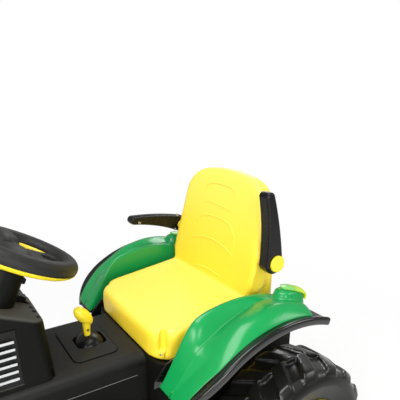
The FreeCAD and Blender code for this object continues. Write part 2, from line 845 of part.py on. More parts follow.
first_row = pad(tyre, outline(sketch(tyre, "XY", lug_foot), lug_plan(1)), lug_raise)
around(tyre, first_row, S.lug_count, "X_Axis")
half_pitch = 180 / S.lug_count
second_sketch = sketch(tyre, "XY")
second_sketch.AttachmentOffset = FreeCAD.Placement(
    FreeCAD.Vector(), FreeCAD.Rotation(FreeCAD.Vector(1, 0, 0), 1))
bind(second_sketch, "AttachmentOffset.Rotation.Angle", half_pitch)
bind(second_sketch, "AttachmentOffset.Base.y", -lug_foot * sine(half_pitch))
bind(second_sketch, "AttachmentOffset.Base.z", lug_foot * cosine(half_pitch))
second_row = pad(tyre, outline(second_sketch, lug_plan(-1)), lug_raise)
around(tyre, second_row, S.lug_count, "X_Axis")
shoulder = 34
envelope = [
    (rear_inside - 20, S.rear_radius + 40), (rear_inside - 20, S.rear_radius - shoulder),
    (rear_inside, S.rear_radius - shoulder, -40), (rear_inside + 16, S.rear_radius - 3),
    (rear_middle, S.rear_radius), (rear_outside - 16, S.rear_radius - 3, -40),
    (rear_outside, S.rear_radius - shoulder), (rear_outside + 20, S.rear_radius - shoulder),
    (rear_outside + 20, S.rear_radius + 40),
]
turned(tyre, outline(sketch(tyre, "XZ"), envelope), kind="Groove")
place(tyre, 0, rear_axle_y, S.rear_radius)
twin(tyre)

hub = new_body("left_rear_hub")
rim_wall = 8
rim_lip = 3
lip_gap = 0.6
rim_inner = S.rear_rim_radius - rim_wall
disc_x = rear_outside - 52
boss_radius = S.axle_radius + 16
nut_seat = rear_outside - 22
rear_hub_profile = [
    (rear_inside - 6, S.axle_radius + running_gap), (nut_seat, S.axle_radius + running_gap),
    (nut_seat, boss_radius - 4), (disc_x + 8, boss_radius + 6), (disc_x + 2, rim_inner - 12),
    (disc_x + 12, rim_inner - 3), (rear_outside - 12, rim_inner + 1),
    (rear_outside - bead_inset + 4, S.rear_rim_radius + rim_lip),
    (rear_outside - bead_inset + lip_gap + 1, S.rear_rim_radius + rim_lip),
    (rear_outside - bead_inset + lip_gap, S.rear_rim_radius - S.fit),
    (rear_inside + 14, S.rear_rim_radius - S.fit), (rear_inside + 14, rim_inner),
    (disc_x - 4, rim_inner), (disc_x - 4, boss_radius), (rear_inside - 6, boss_radius),
]
turned(hub, outline(sketch(hub, "XZ"), rear_hub_profile))
hub_hole_radius = 12
hub_hole_pitch = (boss_radius + rim_inner) / 2 + 1
hub_hole = pocket(hub, ring(sketch(hub, "YZ", disc_x - 10), 0, hub_hole_pitch, hub_hole_radius), 60, back=True)
around(hub, hub_hole, 6, "X_Axis")
place(hub, 0, rear_axle_y, S.rear_radius)
twin(hub)

# Rear axle: one steel bar through both walls of the tub, with a cap nut at each end
axle_end = rear_outside - 16
node(rod(S.axle_radius, 2 * axle_end, -axle_end, rear_axle_y, S.rear_radius, "x"), "rear_axle")
nut_length = 9
nut_outer = rod(S.axle_radius + 5, nut_length, nut_seat + S.fit, rear_axle_y, S.rear_radius, "x")
nut_bore = rod(S.axle_radius, axle_end - nut_seat, nut_seat, rear_axle_y, S.rear_radius, "x")
nut = without(nut_outer, nut_bore, "axle_nut")
node(together([nut, mirrored(nut, "axle_nut_right")], "axle_nuts"), "axle_nuts")

# Gearboxes between tub and wheels, each with its motor reaching into the tub
gearbox = new_body("left_gearbox")
gearbox_width = rear_inside - 8 - half_base
axle_end_radius = 40
motor_end_radius = 28
case = [
    (rear_axle_y, S.rear_radius - axle_end_radius, axle_end_radius),
    (rear_axle_y + axle_end_radius, S.rear_radius, axle_end_radius),
    (rear_axle_y, S.rear_radius + axle_end_radius), (motor_y, motor_z + motor_end_radius, motor_end_radius),
    (motor_y - motor_end_radius, motor_z, motor_end_radius), (motor_y, motor_z - motor_end_radius),
]
pad(gearbox, outline(sketch(gearbox, "YZ", half_base), case), gearbox_width)
case_hole = ring(sketch(gearbox, "YZ", half_base), rear_axle_y, S.rear_radius, S.axle_radius + 2)
pocket(gearbox, case_hole, 2 * gearbox_width, back=True)
rounding(gearbox, 4, lambda middle, edge: near(middle.x, half_base + gearbox_width) and not
         (near(middle.y, rear_axle_y, 12) and near(middle.z, S.rear_radius, 12)))
twin(gearbox)
motor_length = 62
motor = rod(motor_radius, motor_length, half_base - motor_length, motor_y, motor_z, "x")
node(together([motor, mirrored(motor, "motor_right")], "drive_motors"), "drive_motors")

# Front wheels: ribbed tyres on small dished hubs
front_outside = front_inside + S.front_width
front_middle = front_inside + S.front_width / 2
rib_depth = 6
front_bead = 8
rib_width = S.front_width / 7
front_tyre = new_body("left_front_tyre")
tread_low = S.front_radius - rib_depth
front_carcass = [
    (front_inside + front_bead, S.front_rim_radius), (front_inside + 18, S.front_rim_radius),
    (front_inside + 10, tread_low - 20), (front_inside + 16, tread_low - 10),
    (front_outside - 16, tread_low - 10), (front_outside - 10, tread_low - 20),
    (front_outside - 18, S.front_rim_radius), (front_outside - front_bead, S.front_rim_radius),
    (front_outside, tread_low - 18, 22), (front_middle + 2.5 * rib_width, S.front_radius - 4),
    (front_middle + 2 * rib_width, S.front_radius - 3), (front_middle + 1.7 * rib_width, tread_low),
    (front_middle + 0.8 * rib_width, tread_low), (front_middle + 0.5 * rib_width, S.front_radius),
    (front_middle - 0.5 * rib_width, S.front_radius), (front_middle - 0.8 * rib_width, tread_low),
    (front_middle - 1.7 * rib_width, tread_low), (front_middle - 2 * rib_width, S.front_radius - 3),
    (front_middle - 2.5 * rib_width, S.front_radius - 4, 22), (front_inside, tread_low - 18),
]
turned(front_tyre, outline(sketch(front_tyre, "XZ"), front_carcass))
place(front_tyre, 0, front_axle_y, S.front_radius)
twin(front_tyre)

front_hub = new_body("left_front_hub")
front_rim = S.front_rim_radius - 6
front_disc = front_outside - 34
front_boss = S.axle_radius + 10
front_nut_seat = front_outside - 12
front_hub_profile = [
    (front_inside + 2, S.axle_radius + running_gap), (front_nut_seat, S.axle_radius + running_gap),
    (front_nut_seat, front_boss - 2), (front_disc + 6, front_boss + 2), (front_disc + 2, front_rim - 8),
    (front_disc + 8, front_rim - 2), (front_outside - 9, front_rim + 1),
    (front_outside - front_bead + 3.4, S.front_rim_radius + rim_lip),
    (front_outside - front_bead + lip_gap + 0.8, S.front_rim_radius + rim_lip),
    (front_outside - front_bead + lip_gap, S.front_rim_radius - S.fit),
    (front_inside + 9, S.front_rim_radius - S.fit), (front_inside + 9, front_rim),
    (front_disc - 4, front_rim), (front_disc - 4, front_boss), (front_inside + 2, front_boss),
]
turned(front_hub, outline(sketch(front_hub, "XZ"), front_hub_profile))
front_hole_pitch = (front_boss + front_rim) / 2 - 1
front_hole = pocket(front_hub, ring(sketch(front_hub, "YZ", front_disc - 10), 0, front_hole_pitch, 8), 50,
                    back=True)
around(front_hub, front_hole, 5, "X_Axis")
place(front_hub, 0, front_axle_y, S.front_radius)
twin(front_hub)

# Front axle beam: hangs below the nose on two uprights and carries a kingpin boss at each end
kingpin_gap = 0.1
beam = new_body("front_axle_beam")
beam_plan = rectangle(-S.kingpin_x, S.kingpin_x, front_axle_y - 15, front_axle_y + 15)
pad(beam, outline(sketch(beam, "XY", beam_low), beam_plan), beam_high - beam_low)
upright_inside = half_nose - 43
upright_width = 26
for side in (-1, 1):
    boss = ring(sketch(beam, "XY", boss_low), side * S.kingpin_x, front_axle_y, 17)
    pad(beam, boss, boss_high - boss_low)
    edge_a = side * upright_inside
    edge_b = side * (upright_inside + upright_width)
    upright_plan = rectangle(edge_a, edge_b, front_axle_y - 18, front_axle_y + 30)
    pad(beam, outline(sketch(beam, "XY", beam_high - 2), upright_plan), nose_floor - beam_high + 2)
kingpin_holes = ring(sketch(beam, "XY", boss_low - 5), S.kingpin_x, front_axle_y, S.axle_radius + kingpin_gap)
ring(kingpin_holes, -S.kingpin_x, front_axle_y, S.axle_radius + kingpin_gap)
pocket(beam, kingpin_holes, boss_high - boss_low + 10, back=True)
rounding(beam, 6, lambda middle, edge: runs_along(edge, "x") and middle.z < beam_low.value + 1)

# Stub axles: a bar bent from kingpin to wheel axle, with a collar and a forward steering arm
arm_low = boss_high + S.fit
arm_high = arm_low + S.steer_arm_depth
arm_pin_radius = 4
kingpin = rod(S.axle_radius, arm_high - S.front_radius, S.kingpin_x, front_axle_y, S.front_radius)
stub_length = front_outside - S.kingpin_x
stub = rod(S.axle_radius, stub_length, S.kingpin_x, front_axle_y, S.front_radius, "x")
collar = rod(12, 4, S.kingpin_x, front_axle_y, boss_low - 4 - S.fit)
retainer = rod(11, 5, front_outside - 12 + S.fit, front_axle_y, S.front_radius, "x")
arm_eye = rod(12, arm_high - arm_low, S.kingpin_x, front_axle_y, arm_low)
arm_end = rod(10, arm_high - arm_low, S.kingpin_x, crank_pin_y, arm_low)
arm_bar = box(S.kingpin_x - 9, S.kingpin_x + 9, crank_pin_y, front_axle_y, arm_low, arm_high)
arm_pin = rod(arm_pin_radius, tie_rod_height + 9 - arm_low, S.kingpin_x, crank_pin_y, arm_low)
stub_parts = [kingpin, stub, elbow(S.axle_radius, S.kingpin_x, front_axle_y, S.front_radius),
              collar, retainer, arm_eye, arm_end, arm_bar, arm_pin]
twin(node(fused(stub_parts, "left_stub_axle"), "left_stub_axle"))

# Tie rod: a flat bar that joins both steering arms and takes the crank pin in its middle
tie = new_body("tie_rod")
tie_low = tie_rod_height - tie_thickness / 2
tie_half = S.kingpin_x + 11
tie_plan = rounded(-tie_half, tie_half, crank_pin_y - 11, crank_pin_y + 11, 10.9)
pad(tie, outline(sketch(tie, "XY", tie_low), tie_plan), tie_thickness)
tie_holes = ring(sketch(tie, "XY", tie_low - 2), S.kingpin_x, crank_pin_y, arm_pin_radius + kingpin_gap)
ring(tie_holes, -S.kingpin_x, crank_pin_y, arm_pin_radius + kingpin_gap)
ring(tie_holes, 0, crank_pin_y, crank_pin_radius + 3)
pocket(tie, tie_holes, 12, back=True)

# Mudguards: a band round the wheel with an outer lip, stepped down beside the seat and flanged to the tub
guard_y = rear_axle_y - S.guard_lead
guard_z = S.rear_radius - S.guard_drop
guard_outer = half_base + S.guard_width
fender_inner = half_base + S.fender_inset
riser = fender_inner + S.skirt_width + S.fender_gap
guard_low = S.guard_radius - S.wall
step_radius = S.guard_radius - S.guard_step
flange_foot = step_radius - 25
lip_round = 4
guard = new_body("left_mudguard")
guard_profile = [
    (half_base, flange_foot), (half_base + S.wall, flange_foot), (half_base + S.wall, step_radius - S.wall),
    (riser + S.wall, step_radius - S.wall), (riser + S.wall, guard_low), (guard_outer - S.wall, guard_low),
    (guard_outer - S.wall, S.guard_radius - S.guard_lip), (guard_outer, S.guard_radius - S.guard_lip),
    (guard_outer, S.guard_radius - lip_round, lip_round), (guard_outer - lip_round, S.guard_radius),
    (riser, S.guard_radius), (riser, step_radius), (half_base, step_radius),
]
turned(guard, outline(sketch(guard, "XZ"), guard_profile), angle=S.guard_front_angle + S.guard_rear_angle)
place(guard, 0, guard_y, guard_z, (-1, 0, 0), S.guard_rear_angle)
twin(guard)

# Fenders: green covers on the mudguards, high along the inside, creased, then sloping out over the wheel
fender_seat = S.guard_radius + S.fender_gap
crown_radius = 370
crease_radius = 205
foot_angle = 56
tail_angle = -21.4


def round_guard(rise, angle):
    """Point above the fender's seat on the mudguard, at an angle forward of the upright."""
    radius = fender_seat + rise
    angle = Size.of(angle)
    return guard_y - radius * sine(angle), guard_z + radius * cosine(angle)


def fender_section(body, reach, front, rear, top_radius, front_radius):
    """Side outline at one reach from the inner face: guard arc, tail, crown and front face."""
    tip = round_guard(*front)
    if front_radius:
        tip = tip + (front_radius,)
    foot = round_guard(0, foot_angle)
    return outline(sketch(body, "YZ", fender_inner + reach), [
        foot + (-fender_seat,), round_guard(0, tail_angle), round_guard(*rear) + (top_radius,), tip,
    ])


brow = 6.5
hem = 1.5
FENDER_LINES = [
    (0, (S.fender_rise, 29.8), (10.7, -18.1), crown_radius, None),
    (25, (S.fender_rise - 4.5, 29.4), (7.3, -17.9), crown_radius, None),
    (31, (2.4, 36.6), (6.3, -18), crease_radius, fender_seat),
    (65, (brow, 36.6), (brow, -17), fender_seat + brow, fender_seat),
    (S.fender_width, (hem, 36.6), (hem, -16.5), fender_seat + hem, fender_seat),
]
fender = new_body("left_fender")
loft(fender, [fender_section(fender, *line) for line in FENDER_LINES])
skirt_seat = step_radius + S.fender_gap
skirt_bite = 6
skirt_drop = skirt_seat - fender_seat
skirt_plan = [
    round_guard(0, foot_angle), round_guard(skirt_drop, 50.1) + (-skirt_seat,), round_guard(skirt_drop, -19),
    round_guard(skirt_bite, -19) + (fender_seat + skirt_bite,), round_guard(skirt_bite, 47.4),
]
pad(fender, outline(sketch(fender, "YZ", fender_inner), skirt_plan), S.skirt_width)

# Tail lamps: a pod on the rear of each fender with a yellow lens let into it
lamp_inner = fender_inner + 22
lamp_outer = lamp_inner + 52
lamp_y = guard_y + 12
lamp_z = guard_z + fender_seat
lamp_rear = lamp_y + 74


def on_guard(y):
    """A point of the fender's seat on the mudguard at a position along the tractor."""
    return y, guard_z + root(fender_seat * fender_seat - (y - guard_y) * (y - guard_y))


lamp_brow = lamp_y + 28
lamp_heel = lamp_y + 72
brow_z = lamp_z + 38
heel_z = lamp_z + 17
lamp_profile = [
    on_guard(lamp_y) + (-fender_seat,), on_guard(lamp_rear), (lamp_rear + 5, lamp_z - 4), (lamp_heel, heel_z),
    (lamp_brow, brow_z), (lamp_y + 10, brow_z + 1), (lamp_y, lamp_z + 24),
]
pad(fender, outline(sketch(fender, "YZ", lamp_inner), lamp_profile), lamp_outer - lamp_inner)
lens_low = lamp_z + 9
lens_y = lamp_brow + 6
lens_side = 4
lens_cut_top = lamp_z + 60
pocket(fender, outline(sketch(fender, "XY", lens_cut_top), rectangle(
    lamp_inner + lens_side, lamp_outer - lens_side, lens_y, lamp_rear + 30)), lens_cut_top - lens_low)
twin(fender)
lens = doc.addObject("PartDesign::Body", "tail_lens")
lamp_slope = (brow_z - heel_z) / (lamp_heel - lamp_brow)
lens_start = lens_y + S.fit
lens_profile = [
    (lens_start, lens_low + S.fit), (lamp_heel + 2.5, lens_low + S.fit), (lamp_heel, heel_z),
    (lens_start, brow_z - (lens_start - lamp_brow) * lamp_slope),
]
pad(lens, outline(sketch(lens, "YZ", lamp_inner + lens_side + S.fit), lens_profile),
    lamp_outer - lamp_inner - 2 * lens_side - 2 * S.fit)
rounding(lens, 2, lambda middle, edge: middle.z > lens_low.value + 6 and not runs_along(edge, "z"))
node(together([lens, mirrored(lens, "tail_lens_right")], "tail_lenses"), "tail_lenses")

# Seat: one blow-moulded piece with a deep cushion, a leaning back on an upright heel and two arm bosses
half_seat = half_base - S.seat_inset
seat_front = S.base_front + S.seat_setback
crease_y = seat_front + S.cushion_length
crease_z = seat_deck_height + S.cushion_rise
arm_pivot_z = guard_z + S.guard_radius + S.arm_rise
arm_pivot_y = crease_y + (arm_pivot_z - crease_z) * tangent(S.seat_lean) + S.arm_setback
arm_inside = half_seat + S.arm_gap
seat_corner = 55
rear_corner = 20
cushion_rear = crease_y + S.seat_thickness - 8
front_edge_z = seat_deck_height + S.seat_front_height
cushion_slope = (crease_z - front_edge_z) / S.cushion_length
cushion = doc.addObject("PartDesign::Body", "seat_cushion")
cushion_plan = [
    (seat_corner - half_seat, seat_front), (half_seat - seat_corner, seat_front, seat_corner),
    (half_seat, seat_front + seat_corner), (half_seat, cushion_rear - rear_corner, rear_corner),
    (half_seat - rear_corner, cushion_rear), (rear_corner - half_seat, cushion_rear, rear_corner),
    (-half_seat, cushion_rear - rear_corner), (-half_seat, seat_front + seat_corner, seat_corner),
]
pad(cushion, outline(sketch(cushion, "XY", seat_deck_height), cushion_plan), crease_z + 40 - seat_deck_height)
above_cushion = [
    (seat_front - spare, front_edge_z - spare * cushion_slope),
    (cushion_rear + spare, crease_z + (cushion_rear + spare - crease_y) * cushion_slope),
    (cushion_rear + spare, crease_z + 60), (seat_front - spare, crease_z + 60),
]
pocket(cushion, outline(sketch(cushion, "YZ"), above_cushion), 4 * half_seat, both=True)


def on_cushion_rim(middle, edge):
    """Whether an edge borders the sloping top of the cushion."""
    level = front_edge_z.value + cushion_slope.value * (middle.y - seat_front.value)
    return abs(middle.z - level) < 0.8


cushion_round = 18
rounding(cushion, cushion_round, on_cushion_rim)
back = doc.addObject("PartDesign::Body", "seat_back")
back_foot = -76
back_corner = 56
half_back = half_seat - S.back_inset
corner_x = half_back - back_corner * cosine(S.seat_taper)
corner_z = S.back_height - back_corner * (1 - sine(S.seat_taper))
half_foot = half_back + (corner_z - back_foot) * tangent(S.seat_taper)
back_plan = [
    (-half_foot, back_foot), (half_foot, back_foot), (half_back, corner_z, back_corner),
    (corner_x, S.back_height), (-corner_x, S.back_height, back_corner), (-half_back, corner_z),
]
pad(back, outline(sketch(back, "XZ"), back_plan), S.seat_thickness, back=True)
back_round = S.seat_thickness / 2 - 3
rounding(back, back_round, lambda middle, edge: not runs_along(edge, "y"))
place(back, 0, crease_y, crease_z, (-1, 0, 0), S.seat_lean)
heel = doc.addObject("PartDesign::Body", "seat_heel")
heel_rear = crease_y + S.seat_thickness + S.heel_depth
heel_top = crease_z + S.heel_depth / tangent(S.seat_lean)
heel_profile = [
    (crease_y + S.seat_thickness / 2, seat_deck_height), (heel_rear, seat_deck_height), (heel_rear, heel_top),
    (heel_rear - S.seat_thickness / 2, heel_top),
]
pad(heel, outline(sketch(heel, "YZ"), heel_profile), 2 * half_back, both=True)
rounding(heel, back_round, lambda middle, edge: near(middle.y, heel_rear) and runs_along(edge, "z"))
boss_start = half_seat - 34
arm_boss_radius = 16
bolt_radius = 6
bolt_start = half_seat - 20
arm_boss = rod(arm_boss_radius, arm_inside - boss_start, boss_start, arm_pivot_y, arm_pivot_z, "x")
bolt_hole = rod(bolt_radius + running_gap, 40, bolt_start, arm_pivot_y, arm_pivot_z, "x")
screw_x = half_seat - 0.3 * seat_corner
screw_y = seat_front + 0.3 * seat_corner
tab_height = seat_deck_height + 14
notch_radius = 10
notch = rod(notch_radius, 200, screw_x, screw_y, tab_height)
seat_cuts = together([bolt_hole, notch], "seat_cuts_left")
both_cuts = together([seat_cuts, mirrored(seat_cuts, "seat_cuts_right")], "seat_cuts")
seat_parts = [cushion, back, heel, arm_boss, mirrored(arm_boss, "arm_boss_right")]
node(without(fused(seat_parts, "seat_blank"), both_cuts, "seat"), "seat")

# Seat screws: stand on the tabs left in the two front notches
head_radius = 6
head_height = 4
screw = rod(head_radius, head_height, screw_x, screw_y, tab_height)
node(together([screw, mirrored(screw, "seat_screw_right")], "seat_screws"), "seat_screws")

# Armrest pivots: a steel bolt in each seat boss, on which an arm swings
bolt_end = arm_inside + S.arm_thickness - 2
bolt = rod(bolt_radius, bolt_end - bolt_start, bolt_start, arm_pivot_y, arm_pivot_z, "x")
node(together([bolt, mirrored(bolt, "armrest_pivot_right")], "armrest_pivots"), "armrest_pivots")

# Armrests: tapering two-part arms with a round pivot cap, the left one raised and the right one lowered
cover_depth = 10
arm_outside = arm_inside + S.arm_thickness
cap_radius = 17
cap_rise = 5
eye_drop = 4
tip_rise = 2
tip_radius = 10
eye_radius = 21
arm_top_radius = 700
arm_under_radius = 420
bolt_clear = bolt_radius + 3


def arm_plan(inset):
    """Side outline of an arm that points forward, with its pin at the origin."""
    tip = S.arm_reach - tip_radius
    eye = eye_radius - inset
    nose = tip_radius - inset
    return [
        (0, -eye - eye_drop, eye), (eye, -eye_drop, eye), (0, eye - eye_drop, arm_top_radius),
        (-tip, tip_rise + nose, nose), (-tip - nose, tip_rise, nose),
        (-tip, tip_rise - nose, -arm_under_radius),
    ]


def armrest(prefix, angle):
    """Outer shell, inner cover and pivot cap of one arm, raised to an angle; drawn on the left."""
    pieces = []
    shell = doc.addObject("PartDesign::Body", f"{prefix}_armrest")
    pad(shell, outline(sketch(shell, "YZ", arm_inside + S.fit + cover_depth), arm_plan(0)),
        S.arm_thickness - S.fit - cover_depth)
    pocket(shell, ring(sketch(shell, "YZ", arm_inside), 0, 0, bolt_radius + running_gap),
           S.arm_thickness, back=True)
    rounding(shell, 5, lambda middle, edge: near(middle.x, arm_outside)
             and math.hypot(middle.y, middle.z) > bolt_clear)
    pieces.append(shell)
    cover = doc.addObject("PartDesign::Body", f"{prefix}_armrest_cover")
    pad(cover, outline(sketch(cover, "YZ", arm_inside + S.fit), arm_plan(1)), cover_depth)
    pocket(cover, ring(sketch(cover, "YZ", arm_inside), 0, 0, bolt_radius + running_gap),
           S.arm_thickness, back=True)
    rounding(cover, 3, lambda middle, edge: near(middle.x, arm_inside + S.fit)
             and math.hypot(middle.y, middle.z) > bolt_clear)
    pieces.append(cover)
    cap = doc.addObject("PartDesign::Body", f"{prefix}_armrest_cap")
    pad(cap, ring(sketch(cap, "YZ", arm_outside), 0, 0, cap_radius), cap_rise)
    rounding(cap, 3, lambda middle, edge: near(middle.x, arm_outside + cap_rise))
    pieces.append(cap)
    for piece in pieces:
        place(piece, 0, arm_pivot_y, arm_pivot_z, (-1, 0, 0), angle)
    return pieces


for piece in armrest("left", S.arm_up_angle):
    node(piece, piece.Name)
for piece in armrest("lowered", S.arm_down_angle):
    label = piece.Name.replace("lowered", "right")
    node(mirrored(piece, label), label)

# Footboards: ribbed steps at both sides of the tub, the right one with pedal ears
board_thickness = 8
board_low = floor_height + S.footboard_rise
board_top = board_low + board_thickness
board_outer = half_console + S.footboard_width
board_rear = S.base_front - S.footboard_gap
board_front = board_rear - S.footboard_length
board = new_body("left_footboard")
board_corner = 18
board_plan = [
    (half_console, board_front), (board_outer - board_corner, board_front, board_corner),
    (board_outer, board_front + board_corner), (board_outer, board_rear - board_corner, board_corner),
    (board_outer - board_corner, board_rear), (half_console, board_rear),
]
pad(board, outline(sketch(board, "XY", board_low), board_plan), board_thickness)
bracket_drop = 14
bracket_width = 8
bracket_end = 20
bracket_plan = rectangle(half_console, half_console + bracket_width,
                         board_front + bracket_end, board_rear - bracket_end)
pad(board, outline(sketch(board, "XY", board_low - bracket_drop), bracket_plan), bracket_drop)
rib_count = 8
step_rib = 6
rib_rise = 3
rib_end = 22
rib_step = (S.footboard_length - 2 * rib_end - step_rib) / rib_count
for index in range(rib_count):
    rib_y = board_front + rib_end + rib_step * index
    rib_plan = rectangle(half_console + 16, board_outer - 14, rib_y, rib_y + step_rib)
    pad(board, outline(sketch(board, "XY", board_top), rib_plan), rib_rise)
right_board = mirrored(board, "right_board_blank")
pedal_outer = 26 - board_outer
pedal_inner = pedal_outer + S.pedal_width
pedal_y = board_front + 91
pedal_z = board_top + 12
pedal_angle = 20
half_pedal_ear = 8
pedal_ear_width = 7
pedal_side = 1
pin_radius = 3
ear_outer = pedal_outer - pedal_side - pedal_ear_width
ear_inner = pedal_inner + pedal_side + pedal_ear_width
ears = [box(low, low + pedal_ear_width, pedal_y - half_pedal_ear, pedal_y + half_pedal_ear,
            board_top, pedal_z + half_pedal_ear)
        for low in (ear_outer, pedal_inner + pedal_side)]
eared_board = fused([right_board] + ears, "eared_board")
pin_hole = rod(pin_radius + running_gap, ear_inner - ear_outer, ear_outer, pedal_y, pedal_z, "x")
node(without(eared_board, pin_hole, "right_footboard"), "right_footboard")
node(rod(pin_radius, ear_inner - ear_outer, ear_outer, pedal_y, pedal_z, "x"), "pedal_pin")

# Accelerator pedal: hinged at the heel, with treads, over a small switch
pedal = new_body("accelerator_pedal")
heel = 6
pedal_length = 78
tread_width = 5
tread_pitch = 12
pedal_profile = [
    (0, -heel, heel), (heel, 0, heel), (0, heel), (8 - pedal_length, heel), (-pedal_length, 3),
    (-pedal_length, -2), (-8, -2),
]
pad(pedal, outline(sketch(pedal, "YZ", pedal_outer), pedal_profile), S.pedal_width)
for index in range(5):
    tread_y = 8 - pedal_length + tread_pitch * index
    tread = rectangle(pedal_outer + 6, pedal_inner - 6, tread_y, tread_y + tread_width)
    pad(pedal, outline(sketch(pedal, "XY", heel), tread), 2)
pocket(pedal, ring(sketch(pedal, "YZ", pedal_outer - 5), 0, 0, pin_radius + running_gap), S.pedal_width + 10,
       back=True)
place(pedal, 0, pedal_y, pedal_z, (-1, 0, 0), pedal_angle)
pedal_switch_x = pedal_outer + 22
node(box(pedal_switch_x, pedal_switch_x + 20, pedal_y - 66, pedal_y - 40, board_top + rib_rise, board_top + 14),
     "pedal_switch")

# Battery on the nose floor, held by a strap
nose_bed = nose_floor + S.wall
half_battery = half_nose - S.wall - 21
battery_front = nose_front + 12
battery_top = nose_bed + S.battery_height
strap_width = 22
strap_thickness = 3
strap_front = battery_front + S.battery_length / 2 - strap_width / 2
node(box(-half_battery, half_battery, battery_front, battery_front + S.battery_length, nose_bed, battery_top),
     "battery")
strap_outer = box(-half_battery - 2 * strap_thickness, half_battery + 2 * strap_thickness,
                  strap_front, strap_front + strap_width, nose_bed, battery_top + strap_thickness)
strap_inner = box(-half_battery - S.fit, half_battery + S.fit, strap_front - spare,
                  strap_front + strap_width + spare, nose_bed - 1, battery_top + S.fit)
node(without(strap_outer, strap_inner, "battery_strap"), "battery_strap")

# Hood: a green shell over the nose, hinged at the front so that it tips forward
hood = new_body("hood")
half_hood = half_nose + S.hood_overlap
hood_skirt = seam_height - S.skirt_drop
hood_rear_height = cowl_top - S.hood_step
hood_front_height = hood_rear_height - S.hood_fall
hood_nose = nose_front - S.hood_reach
hood_rear = cowl_front - 1.5
hood_round = 30
hood_profile = [
    (hood_nose, hood_skirt), (hood_rear, hood_skirt), (hood_rear, hood_rear_height),
    (hood_nose + 26, hood_front_height), (hood_nose + 4, hood_front_height - 18),
]
pad(hood, outline(sketch(hood, "YZ"), hood_profile), 2 * half_hood, both=True)
rounding(hood, hood_round, lambda middle, edge: near(abs(middle.x), half_hood)
         and middle.z > hood_front_height.value and not runs_along(edge, "z"))
cavity_top = hood_front_height - hood_round - 6
cavity = [
    (hood_nose + S.wall, hood_skirt - 5), (hood_rear + 5, hood_skirt - 5),
    (hood_rear + 5, cavity_top), (hood_nose + S.wall, cavity_top),
]
pocket(hood, outline(sketch(hood, "YZ"), cavity), 2 * half_hood - 2 * S.wall, both=True)
roof = [
    (hood_nose + 30, cavity_top - 4), (hood_rear + 5, cavity_top - 4),
    (hood_rear + 5, hood_rear_height - S.wall), (hood_nose + 30, hood_front_height - S.wall),
]
pocket(hood, outline(sketch(hood, "YZ"), roof), 2 * (half_hood - hood_round - 2), both=True)
hinge_y = hood_nose + 14
hinge_z = hood_skirt + 4
hinge_radius = 3
hinge_lug_width = 8
hinge_ear_width = 7
hinge_side = 1
lug_inside = half_nose - 24
lug_outline = rectangle(hood_nose + 2, hinge_y + 6, hood_skirt, hinge_z + 10)
hinge_notch = rectangle(hood_nose - 5, hood_nose + S.wall + 0.5, hood_skirt - 1, hinge_z + 6)
for side in (-1, 1):
    notch_start = side * (lug_inside - hinge_ear_width - 2 * hinge_side)
    pocket(hood, outline(sketch(hood, "YZ", notch_start), hinge_notch), hinge_ear_width + 2 * hinge_side,
           back=side > 0)
    pad(hood, outline(sketch(hood, "YZ", side * lug_inside), lug_outline), hinge_lug_width, back=side < 0)
    pad(hood, ring(sketch(hood, "YZ", side * lug_inside), hinge_y, hinge_z, hinge_radius),
        hinge_ear_width + 2 * hinge_side, back=side > 0)

# Front grille: a slotted panel on the nose of the hood
grille_front = hood_nose - 8
grille_low = hood_skirt + 17
grille_high = hood_front_height - 25
half_grille = half_hood - 20
half_slot = half_grille - 48
grille = new_body("front_grille")
grille_plan = rounded(-half_grille, half_grille, grille_low, grille_high, 14)
pad(grille, outline(sketch(grille, "XZ", -hood_nose), grille_plan), hood_nose - grille_front)
slot_count = 7
slot_margin = 12
slot_pitch = (grille_high - grille_low - 2 * slot_margin) / slot_count
slot_bar = 3
for index in range(slot_count):
    slot_low = grille_low + slot_margin + slot_pitch * index + slot_bar
    grille_slot = rectangle(-half_slot, half_slot, slot_low, slot_low + slot_pitch - 2 * slot_bar)
    pocket(grille, outline(sketch(grille, "XZ", -grille_front), grille_slot), 5)
rounding(grille, 2, lambda middle, edge: near(middle.y, grille_front) and abs(middle.x) > half_slot.value + 2)

# Headlamps: a clear lens on each side of the grille
lamp_depth = 5
lamp = doc.addObject("PartDesign::Body", "headlamp")
lamp_plan = rounded(half_grille - 40, half_grille - 8, grille_high - 60, grille_high - 12, 9)
pad(lamp, outline(sketch(lamp, "XZ", -grille_front), lamp_plan), lamp_depth)
rounding(lamp, 3, lambda middle, edge: near(middle.y, grille_front - lamp_depth))
node(together([lamp, mirrored(lamp, "headlamp_right")], "headlamps"), "headlamps")

# Front weights: a ribbed block under the nose that carries the hood hinge
weight_high = hood_skirt - 12
weight_low = weight_high - 50
weight_front = nose_front - S.weight_depth
half_weight = half_nose - 15
weight_round = 8
weight_bevel = 14
weights = new_body("front_weights")
weight_side = [
    (nose_front, weight_low), (nose_front, weight_high),
    (weight_front + weight_round, weight_high, weight_round),
    (weight_front, weight_high - weight_round), (weight_front, weight_low + weight_bevel),
    (weight_front + weight_bevel, weight_low),
]
pad(weights, outline(sketch(weights, "YZ"), weight_side), 2 * half_weight, both=True)
gap_count = 7
gap_pitch = 2 * half_weight / (gap_count + 1)
half_gap = 2.5
for index in range(gap_count):
    gap_x = gap_pitch * (index + 1) - half_weight
    gap_plan = rectangle(gap_x - half_gap, gap_x + half_gap, weight_front - 5, weight_front + 18)
    pocket(weights, outline(sketch(weights, "XY", weight_high), gap_plan), 60)
ear_half = 6
ear_plan = [
    (hinge_y - ear_half, weight_high - 2), (hinge_y + ear_half, weight_high - 2),
    (hinge_y + ear_half, hinge_z, ear_half), (hinge_y, hinge_z + ear_half, ear_half),
    (hinge_y - ear_half, hinge_z),
]
for side in (-1, 1):
    pad(weights, outline(sketch(weights, "YZ", side * (lug_inside - hinge_side)), ear_plan), hinge_ear_width,
        back=side > 0)
